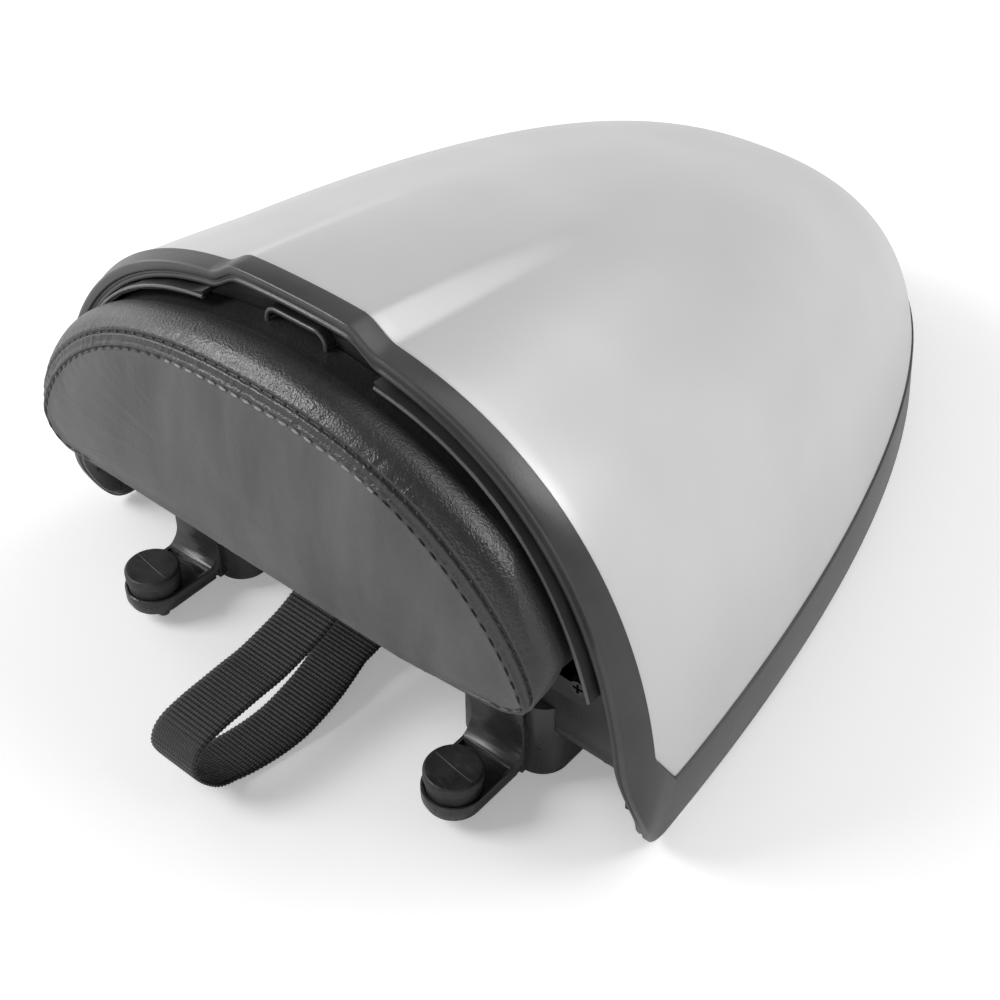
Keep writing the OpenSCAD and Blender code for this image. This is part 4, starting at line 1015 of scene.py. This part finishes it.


# Raised parting line across a front buffer's top, in paler rubber: a painted highlight along the ridge
def partingPoints(x, y):
    half, height, foot = parting["half"], parting["height"], parting["foot"]
    length = buffer["radius"] - parting["inset"]
    top = buffer["plateTop"] + buffer["height"] - parting["sink"]
    c, s = math.cos(parting["turned"]), math.sin(parting["turned"])
    ends = length - parting["slope"]
    return [place(x + u * c - w * s, y + u * s + w * c, top + rise)
            for u, h in ((-length, 0), (-ends, height), (ends, height), (length, 0))
            for w, rise in ((-half, -foot), (0, h), (half, -foot))]


def makeTurned(name, profile, x, y, material, radius, parted=False):
    width = buffer["segments"]
    turns = [2 * math.pi * k / width for k in range(width)]
    rows = [[place(x + max(r, 0.001) * math.cos(t), y + max(r, 0.001) * math.sin(t), z) for t in turns]
            for r, z in roundProfile(profile, radius)]
    faces = gridFaces(len(rows), width, False, True)
    faces += [tuple(range(width)), tuple((len(rows) - 1) * width + k for k in range(width))]
    points = [p for row in rows for p in row]
    tags = [0] * len(faces)
    if parted:
        faces += [tuple(len(points) + i for i in f) for f in parting["faces"]]
        tags += [1] * len(parting["faces"])
        points += partingPoints(x, y)
    return makeObject(name, points, faces, [material, partingHighlightRubber] if parted else [material], tags)


def frontProfile():
    base, top, r, s = 7, buffer["plateTop"] + buffer["height"], buffer["radius"], buffer["stem"]
    plate = buffer["seat"]
    return [(0, 0), (s - 1, 0), (s, 1), (s, base - 3.2), (s + 0.8, base - 1.5), (s + 0.8, base - 0.3),
            (s, base - 0.3), (s, plate), (r - 1.8, plate), (r - 1.2, plate + 1), (r - 0.7, plate + 2.4),
            (r - 0.6, top - 5), (r, top - 4.5), (r, top - 2.5), (r - 0.15, top - 2.3), (r, top - 2.1),
            (r, top - 0.9), (r - 0.9, top), (r - 3, top - 0.1), (0, top - 0.25)]


for side, word in ((1, "right"), (-1, "left")):
    piece = makeTurned("buffer_front_" + word, frontProfile(), side * buffer["frontX"], buffer["frontY"], rubber,
                       buffer["frontRound"], True)
    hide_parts("front_buffer_" + word)
    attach(piece, "root")
    r, h, s = buffer["rearRadius"], buffer["rearHeight"], buffer["stem"]
    profile = [(0, 0), (r - 3, 0), (r - 2, 0), (r - 0.6, 0.6), (r, 2), (r, h - 2), (r - 0.3, h - 1.7),
               (r, h - 1.4), (r, h), (s, h), (s, h + 7), (0, h + 7)]
    piece = makeTurned("buffer_rear_" + word, profile, side * buffer["rearX"], buffer["rearY"], rubber,
                       buffer["rearRound"])
    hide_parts("rear_buffer_" + word)
    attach(piece, "root")
print("buffers made")


# Copies of CAD nodes with softened edges; angles in degrees
softening = dict(merge=0.00002, flat=1.2, segments=2, bevelOver=32, sharpOver=38, topReach=0.3)


# The feet's plates are a little thinner, so that the buffers sit deeper
def lowerPlate(vertices):
    for v in vertices:
        if abs(1000 * v.co.z - buffer["plateTop"]) < softening["topReach"]:
            v.co.z -= (buffer["plateTop"] - buffer["seat"]) / 1000


def fillShoulders(vertices):
    reach = dome["squareness"]
    for v in vertices:
        x, z = 1000 * v.co.x, 1000 * v.co.z
        share = ((abs(x) / dome["halfWidth"]) ** reach + (z / dome["height"]) ** reach) ** (1 / reach)
        share = ease((share - shoulder["innerShare"]) / (shoulder["outerShare"] - shoulder["innerShare"]))
        x, z = swollen(x, z, share)
        v.co.x, v.co.z = x / 1000, z / 1000


def makeSoftened(node, name, material, width):
    mesh = nodes[node].data.copy()
    piece = addObject(name, mesh)
    bm = bmesh.new()
    bm.from_mesh(mesh)
    bmesh.ops.remove_doubles(bm, verts=bm.verts, dist=softening["merge"])
    bmesh.ops.dissolve_limit(bm, angle_limit=math.radians(softening["flat"]), verts=bm.verts, edges=bm.edges)
    if node.startswith("front_foot"):
        lowerPlate(bm.verts)
    if node == "backing_plate":
        fillShoulders(bm.verts)
    bm.to_mesh(mesh)
    bm.free()
    mesh.materials.clear()
    mesh.materials.append(material)
    bevel = piece.modifiers.new("bevel", "BEVEL")
    bevel.width = width
    bevel.segments = softening["segments"]
    bevel.limit_method = "ANGLE"
    bevel.angle_limit = math.radians(softening["bevelOver"])
    bevel.harden_normals = True
    softened = resultOf(piece)
    piece.modifiers.clear()
    piece.data = softened
    softened.name = name
    softened.shade_smooth()
    softened.set_sharp_from_angle(angle=math.radians(softening["sharpOver"]))
    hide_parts(node)
    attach(piece, "root")
    return piece


soften = [
    ("front_foot_left", moulding, "black_moulding", 0.0006), ("front_foot_right", moulding, "black_moulding", 0.0006),
    # The backing plate takes the darker copy of the moulding: painted shade behind the rim
    ("backing_plate", shadedPlateMoulding, "black_moulding", 0.0006), ("base_tray", moulding, "black_moulding", 0.0003),
    ("bulkhead", moulding, "black_moulding", 0.0003), ("strap_clamp_upper", blackSteel, "black_steel", 0.0003),
    ("strap_clamp_lower", blackSteel, "black_steel", 0.0003),
]
for node, material, slot, width in soften:
    piece = makeSoftened(node, node + "_soft", material, width)
    print(node, "softened,", len(piece.data.polygons), "faces")


# Rounded front edges of the plate's lip and finger tab, in a moulding much paler than the plate: a painted highlight
# along these edges
plateEdges = dict(inset=9.6, low=82, gap=40, front=-12.3, radius=0.75, steps=600,
                  tabHalf=14, tabRound=5, tabFront=-7.3, tabTop=174.4, tabLegs=6)


def makeBead(name, line):
    carrier = makeLine(name, [place(*p) for p in line])
    carrier.data.bevel_depth = plateEdges["radius"] / 1000
    carrier.data.bevel_resolution = 3
    carrier.data.use_fill_caps = True
    mesh = resultOf(carrier)
    bpy.data.objects.remove(carrier)
    mesh.materials.clear()
    mesh.materials.append(highlightEdgeMoulding)
    mesh.shade_smooth()
    piece = addObject(name, mesh)
    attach(piece, "root")


def lipLine(side):
    line = []
    top = dome["height"] - plateEdges["inset"]
    for i in range(plateEdges["steps"]):
        z = mix(plateEdges["low"], top, math.sin(math.pi / 2 * i / plateEdges["steps"]))
        d = plateEdges["inset"] + rim["plateDraw"] * (1 - (z / top) ** dome["squareness"])
        x = halfAt(0, z, d, dome["squareness"])
        if x < plateEdges["gap"]:
            break
        x, z = swollen(x, z, 1)
        line.append((side * x, plateEdges["front"], z))
    return line


def tabLine():
    half, r, top = plateEdges["tabHalf"], plateEdges["tabRound"], plateEdges["tabTop"]
    line = [(-half, top - r - plateEdges["tabLegs"]), (-half, top - r)]
    turns = [math.pi / 16 * i for i in range(1, 8)]
    line += [(-half + r - r * math.cos(t), top - r + r * math.sin(t)) for t in turns]
    line += [(-half + r, top)]
    line += [(-x, z) for x, z in reversed(line)]
    return [(x, plateEdges["tabFront"], z) for x, z in line]


for side, word in ((1, "right"), (-1, "left")):
    makeBead("lip_edge_" + word, lipLine(side))
makeBead("tab_edge", tabLine())
print("plate edges made")

for material, kept in ((zinc, ("catch_loop", "catch_nuts", "tray_screws", "bulkhead_screws", "foot_screws")),
                       (blackSteel, ("strap_screws", "backing_screws"))):
    for node in kept:
        nodes[node].data.materials.clear()
        nodes[node].data.materials.append(material)

# Floor: pale, with a little light of its own that only the camera sees; half its width in metres
ground = dict(colour=(0.9, 0.9, 0.9, 1), rough=0.9, glow=0.28, half=4)
floorMaterial, floorTree, floorShader, _ = startMaterial(
    "floor", Roughness=ground["rough"], Base_Color=ground["colour"], Emission_Color=(1, 1, 1, 1))
seen = addNode(floorTree, "ShaderNodeLightPath").outputs["Is Camera Ray"]
floorTree.links.new(addUp(floorTree, seen, ground["glow"], "MULTIPLY"), floorShader.inputs["Emission Strength"])
far = ground["half"]
floor = makeObject("floor", [(-far, -far, 0), (far, -far, 0), (far, far, 0), (-far, far, 0)], [(0, 1, 2, 3)],
                   [floorMaterial])

print("scene made")
